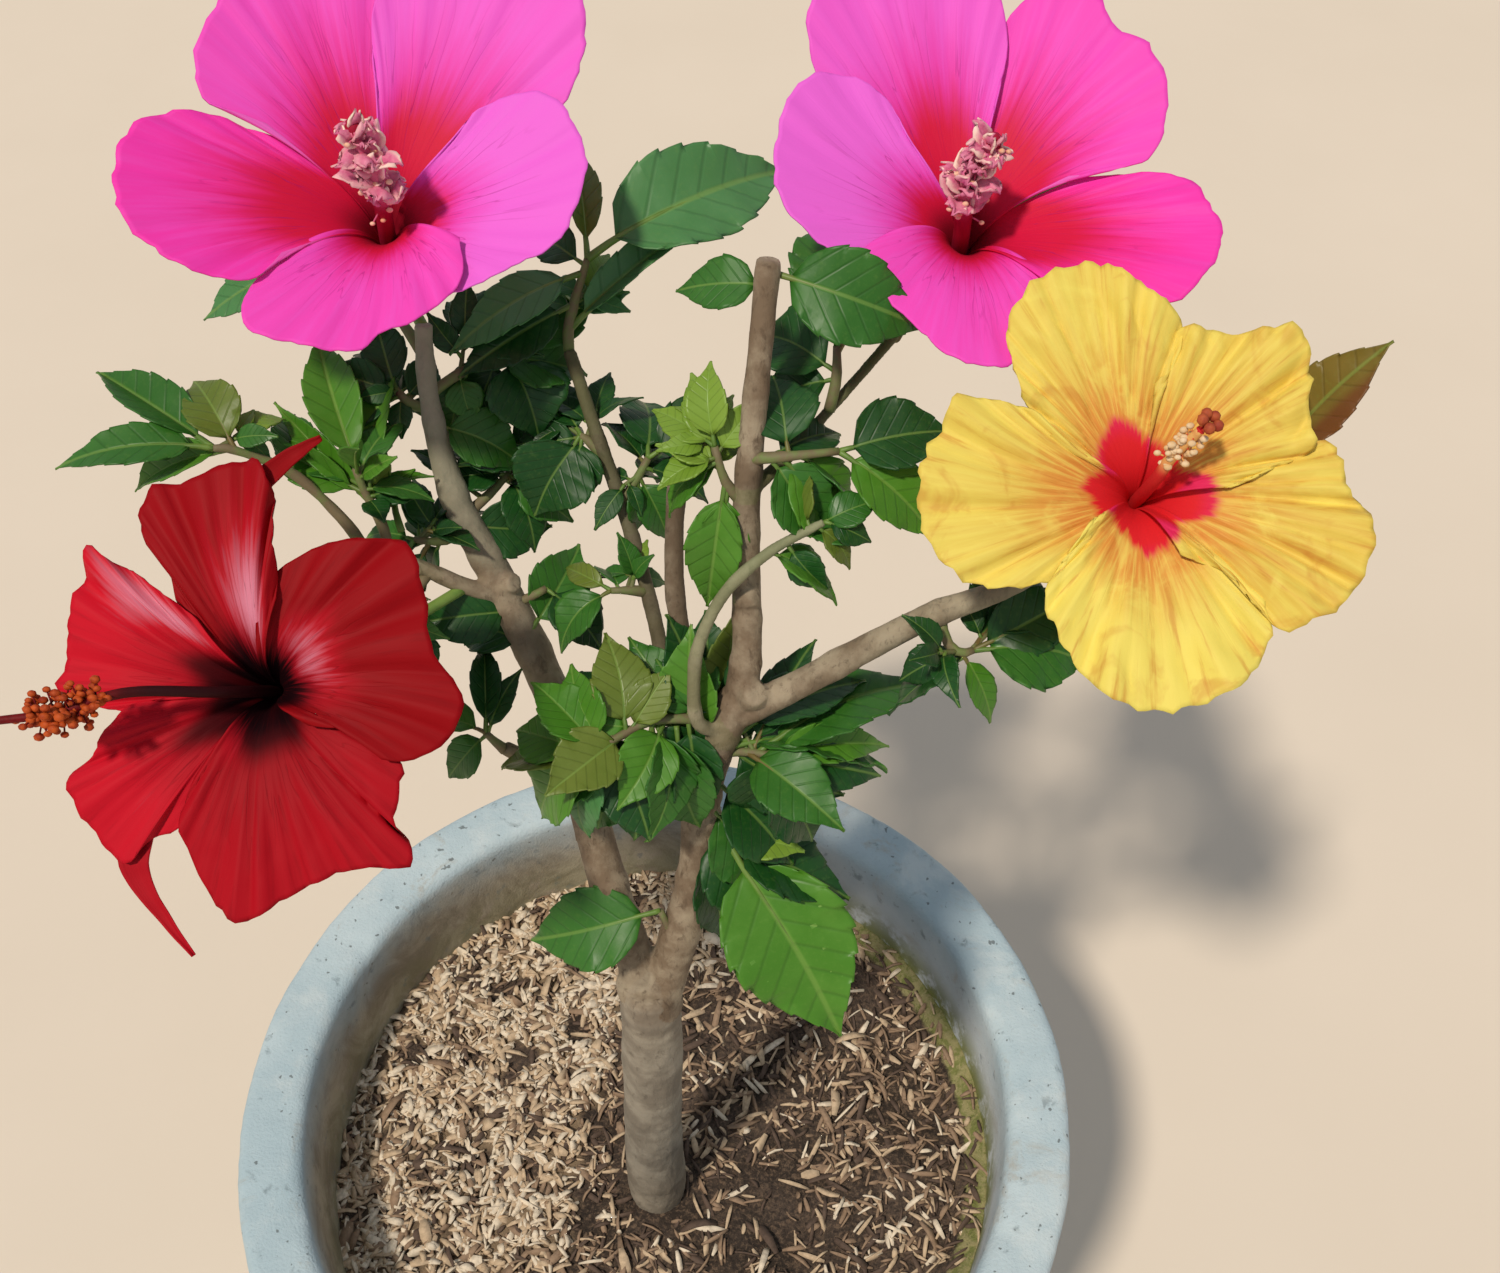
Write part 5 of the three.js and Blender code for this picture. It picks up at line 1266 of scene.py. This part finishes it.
def petalFinish(kind, name, under=False):
    c = petalPaint[kind]
    f = Finish(name, Roughness=0.6, Specular_IOR_Level=0.1 if kind == "red" else 0.2)
    u, s = f.ownPlace()
    shade, tint = f.ownShade(), f.ownShade("tint")
    drawn = f.put("CombineXYZ", {0: f.times(u, 0.34), 1: f.times(s, 0.03), 2: f.times(tint, 0.2)}).outputs[0]
    fibres = f.mottle(9, 4, 0.6, where=drawn)
    warped = f.sums("MULTIPLY_ADD", f.mottle(30, 3, where=drawn), 5.0, f.times(u, 15.0))
    veins = f.times(f.times(f.lines(warped, 0.06), f.between(s, 0.97, 0.6)), f.between(s, 0.35, 0.6))
    outer = f.blend(tint, c["outer"], c["outerPale"])

    def frayed(share):
        return f.sums("MULTIPLY_ADD", f.sums("SUBTRACT", fibres, 0.5), share, shade)

    if kind == "pink":
        streaked = frayed(0.13)
        colour = f.layers(
            c["deep"], (s, 0.2, 0.42, 1, c["crimson"]),
            (streaked, 0.4, 0.6, 1, f.blend(tint, c["hot"], c["hotPale"])), (streaked, 0.5, 0.76, 1, outer))
        pale = f.times(f.between(fibres, 0.4, 0.7, 0, 0.2), f.between(shade, 0.45, 0.65))
        colour = f.blend(f.times(veins, 0.45), f.blend(pale, colour, c["outerPale"]), c["vein"])
    elif kind == "yellow":
        # patches of paler lemon and darker gold, laid at random, give uneven tone and painted light and shade
        # over the petals
        patch = f.mottle(20, 4, 0.6, 0.8)
        colour = f.layers(
            c["blush"], (s, 0.55, 0.8, 1, c["middle"]),
            (f.sums("MULTIPLY_ADD", tint, 0.12, s), 0.72, 0.98, 1, outer),
            (fibres, 0.44, 0.66, 0.5, c["outerPale"]), (fibres, 0.46, 0.3, 0.55, c["vein"]),
            (patch, 0.54, 0.7, 0.55, c["outerPale"]), (patch, 0.44, 0.3, 0.45, c["vein"]),
            (frayed(0.8), 0.3, 0.72, 1, f.layers(c["star"], (s, 0.45, 0.6, 1, c["starTip"]))))
    else:
        # painted highlight: pale pink streaks on the lit side of the folds
        lit = frayed(0.45)
        colour = f.layers(
            c["deep"], (s, 0.36, 0.52, 1, c["maroon"]),
            (s, 0.46, 0.62, 1, f.blend(tint, c["middle"], c["middlePale"])), (s, 0.6, 0.95, 1, outer),
            (shade, 0.45, 0.05, 0.95, c["maroon"]), (lit, 0.55, 0.78, 0.5, c["outerPale"]),
            (lit, 0.7, 1.05, 0.9, c["paintedSheen"]))
        colour = f.blend(f.times(veins, 0.35), colour, c["vein"])
        colour = f.layers(colour, (fibres, 0.5, 0.75, 0.3, c["vein"]))
    if under:
        colour = f.blend(0.35, colour, c["under"])
    return f.done(colour, f.sums("MULTIPLY_ADD", veins, -0.5, f.times(fibres, 0.8)), 0.3, 0.6)


def makePetals():
    finishes = {kind: [petalFinish(kind, kind + "Petal"), petalFinish(kind, kind + "PetalBack", True)]
                for kind in sorted(petalPaint)}
    for name, bloom in blooms.items():
        parts = Gather()
        for k, (_, tint) in enumerate(bloom["rims"]):
            parts.sheet(*makePetal(bloom, k), tint=tint)
        for points, widths, tint in bloom.get("tongues", []):
            parts.sheet(*makeTongue(bloom, points, widths), tint=tint)
        piece, kind = name.replace("bloom", "petals"), bloom["kind"]
        newPiece(piece, parts, finishes[kind], [name])


makePetals()


# Calyx and stalk of each bloom

calyx = {
    "sepals": 5, "length": 17, "below": 9, "neck": 1.5, "cup": 5.6, "flare": 2.2, "sepalWidth": 1.12,
    "bracts": 7, "bractLength": 10.4, "bractSpread": 8, "bractWidth": 0.28,
    "stalk": (1.8, 1.5), "swell": 0.25, "knob": 3.0, "green": "5f8638", "pale": "8ba652",
}


def makeCalyces():
    parts = Gather()
    s = np.linspace(0, 1, 12)[:, None]
    for bloom in blooms.values():
        foot = -bloom["tube"]
        low = foot - calyx["below"]
        rng = np.random.RandomState(bloom["seed"])
        for k in range(calyx["sepals"]):
            w = np.linspace(-1, 1, 9)[None, :]
            cup = np.sin(np.clip(s * 1.5, 0, 1) * math.pi / 2)
            r = calyx["neck"] + (calyx["cup"] - calyx["neck"]) * cup + calyx["flare"] * s**4
            width = math.pi / calyx["sepals"] * calyx["sepalWidth"] * (1 - ease(s, 0.45, 1.0) * 0.94)
            angle = 2 * math.pi * (k + 0.5) / calyx["sepals"] + w * width
            p = roundBloom(bloom, r, angle, low + calyx["length"] * s)
            parts.sheet(p, 0.7, spread(w, s), rng.rand(), under=0)
        for k in range(calyx["bracts"]):
            w = np.linspace(-1, 1, 3)[None, :]
            width = calyx["bractWidth"] * (1 - s**2) / (1 + 2 * s)
            angle = 2 * math.pi * k / calyx["bracts"] + w * width
            r = 2 + calyx["bractSpread"] * s**1.3
            p = roundBloom(bloom, r, angle, low + calyx["bractLength"] * s**0.8)
            parts.sheet(p, 0.6, spread(w, s), rng.rand(), under=0)
        t = np.linspace(0, 1, 24)[:, None]
        lower, base = inBloom(bloom, 0, 0, foot - 12), inBloom(bloom, 0, 0, foot - 6)
        line = (1 - t) ** 2 * np.array(bloom["stalk"]) + 2 * t * (1 - t) * lower + t * t * base
        swell = 1 + calyx["swell"] * np.exp(-((t[:, 0] - 0.55) / 0.05) ** 2)
        parts.tube(line, np.linspace(*calyx["stalk"], 24) * swell, 12, 0.4)
        parts.ball(inBloom(bloom, 0, 0, foot - 8), calyx["knob"], shade=0.4)
    f = Finish("greenCalyx", Roughness=0.5)
    patch = f.mottle(5, 4)
    tone = f.sums("MULTIPLY_ADD", f.ownShade(), 0.4, f.between(patch, 0.3, 0.7, 0, 0.5))
    colour = f.blend(tone, calyx["green"], calyx["pale"])
    newPiece("calyces", parts, [f.done(colour, patch, 0.4, 0.5)])


makeCalyces()


# Columns: style, filaments, anthers and stigma pads

columns = {
    "bloom_pink_left": ([(0, 0, -26), (1, -2, -2), (1, 0, 12), (-4, 6, 28)], (2.6, 2.4, 3.2, 2.6)),
    "bloom_pink_right": ([(0, 0, -26), (-2, -2, -2), (-3, 1, 12), (2, 5, 28)], (2.6, 2.4, 3.2, 2.6)),
    "bloom_yellow": ([(0, 0, -24), (3, 2, 2), (6, 6, 10), (12, 11, 17)], (1.9, 1.7, 1.5, 1.2)),
    "bloom_red": ([(0, 0, -26), (-8, 0, 5), (-26, 0, 19), (-41, -5, 25), (-55, -7, 28)],
                  (1.8, 1.5, 1.3, 1.1)),
}
# place: the stretch of the column with filaments; pads: lean to the right, up and out, reach, size, spread
stamen = {
    "pink": {"column": ("de7494", "c04a72"), "foot": "a01234", "anthers": ("e08aa4", "cc5a88"),
             "tips": ("f2cdb4", "e09a76"), "paleEdge": "fbe3cf", "crests": 40, "crestSize": (6, 11),
             "crestLean": (0.5, 2.2), "filaments": 34, "place": (0.45, 1.0), "reach": (2.5, 6.5),
             "size": (0.7, 1.1)},
    "yellow": {"column": ("e0b068", "d08a50"), "foot": "c8262a", "anthers": ("e6cfae", "d8b07c"),
               "tips": ("94382a", "b85c34"), "filaments": 44, "place": (0.6, 0.95), "reach": (1.6, 4.0),
               "size": (0.7, 1.1), "pads": ((0.45, 0.4, 0.9), 5, 1.55, 0.55)},
    "red": {"column": ("5e0409", "7c0c12"), "foot": "2c0206", "anthers": ("c4561e", "8a2a12"),
            "tips": ("6e4a48", "5c1a1e"), "filaments": 150, "place": (0.6, 0.86), "reach": (1.5, 6.5),
            "size": (0.8, 1.4), "pads": ((-1, -0.25, 0.3), 8, 1.7, 0.55)},
}


def softFinish(name, colours, paleEdge=None, foot=None):
    f = Finish(name, Roughness=0.6, Specular_IOR_Level=0.2)
    spots = f.mottle(2.5, 4, 0.6)
    share = f.sums("MULTIPLY_ADD", f.ownShade(), 0.3, f.between(spots, 0.38, 0.66, 0, 0.7))
    colour = f.blend(share, *colours)
    x, s = f.ownPlace()
    if foot:
        colour = f.blend(f.between(s, 0.42, 0.66), foot, colour)
    if paleEdge:
        edge = f.between(f.sums("ABSOLUTE", x), 0.4, 1.0)
        colour = f.blend(f.times(edge, f.ownShade()), colour, paleEdge)
    return f.done(colour, spots)


# A small crumpled petal standing out from root
def addCrest(parts, root, out, side, size, rng):
    s = np.linspace(0, 1, 10)[:, None]
    w = np.linspace(-1, 1, 9)[None, :]
    half = size * 0.42 * np.sin(math.pi * np.clip(s * 0.8 + 0.12, 0, 1)) ** 0.8
    wave = 0.16 * size * waver(w * 4 + s * 5, rng.randint(9999)) * s
    curl = rng.uniform(-0.5, 0.5) * size * s**2
    p = laid(root, (out, side, np.cross(out, side)), size * s, half * w, wave + curl + 0.25 * half * w**2)
    parts.sheet(p, 0.5, spread(w, s), rng.rand(), under=0)


def makeColumns():
    for name, (points, widths) in columns.items():
        bloom = blooms[name]
        kind = bloom["kind"]
        form = stamen[kind]
        right, top, axis = bloomAxes(bloom)
        rng = np.random.RandomState(bloom["seed"] + 40)
        t = np.linspace(0, 1, 40)
        line = inBloom(bloom, *curveAt(points, t).T)
        radii = np.interp(t, np.linspace(0, 1, 4), widths)
        styles, anthers, tips = Gather(), Gather(), Gather()
        styles.tube(line, radii, 14, 0.4)
        styles.ball(line[-1], radii[-1] * 1.05, shade=0.4)
        # the pink blooms' anthers have turned into a crumpled crest of small petals
        crests = form.get("crests", 0)
        for crest in range(crests):
            place = 0.5 + 0.5 * (crest + rng.rand()) / crests
            turn = rng.uniform(0, 6.28)
            lean = rng.uniform(*form["crestLean"])
            out = unit(right * math.cos(turn) + top * math.sin(turn) + axis * lean)
            side = unit(np.cross(out, axis + 0.3 * right))
            size = rng.uniform(*form["crestSize"]) * (0.55 + 0.45 * math.sin(math.pi * (place - 0.42) / 0.6))
            addCrest(anthers, curveAt(line, place)[0], out, side, size, rng)
        for _ in range(form["filaments"]):
            root = curveAt(line, rng.uniform(*form["place"]))[0]
            end = root + unit(rng.normal(size=3)) * rng.uniform(*form["reach"])
            styles.tube(np.linspace(root, end, 4), 0.25, 5, 0.6)
            dots = tips if crests else anthers
            dots.ball(end, rng.uniform(*form["size"]), (1.15, 0.9, 0.85), shade=rng.rand())
        if "pads" in form:
            lean, reach, size, apart = form["pads"]
            lean = laid((0, 0, 0), (right, top, axis), *lean)
            for a in turns(5):
                way = unit(lean + apart * (math.cos(a) * np.cross(unit(lean), top) + math.sin(a) * top))
                end = line[-1] + way * reach
                styles.tube(np.linspace(line[-1], end, 5), 0.5, 6, 0.4)
                tips.ball(end, size, shade=rng.rand())
        for word, heap in (("column", styles), ("anthers", anthers), ("tips", tips)):
            paleEdge = form.get("paleEdge") if word == "anthers" else None
            foot = form["foot"] if word == "column" else None
            piece = name.replace("bloom", word)
            newPiece(piece, heap, [softFinish(piece, form[word], paleEdge, foot)])


makeColumns()
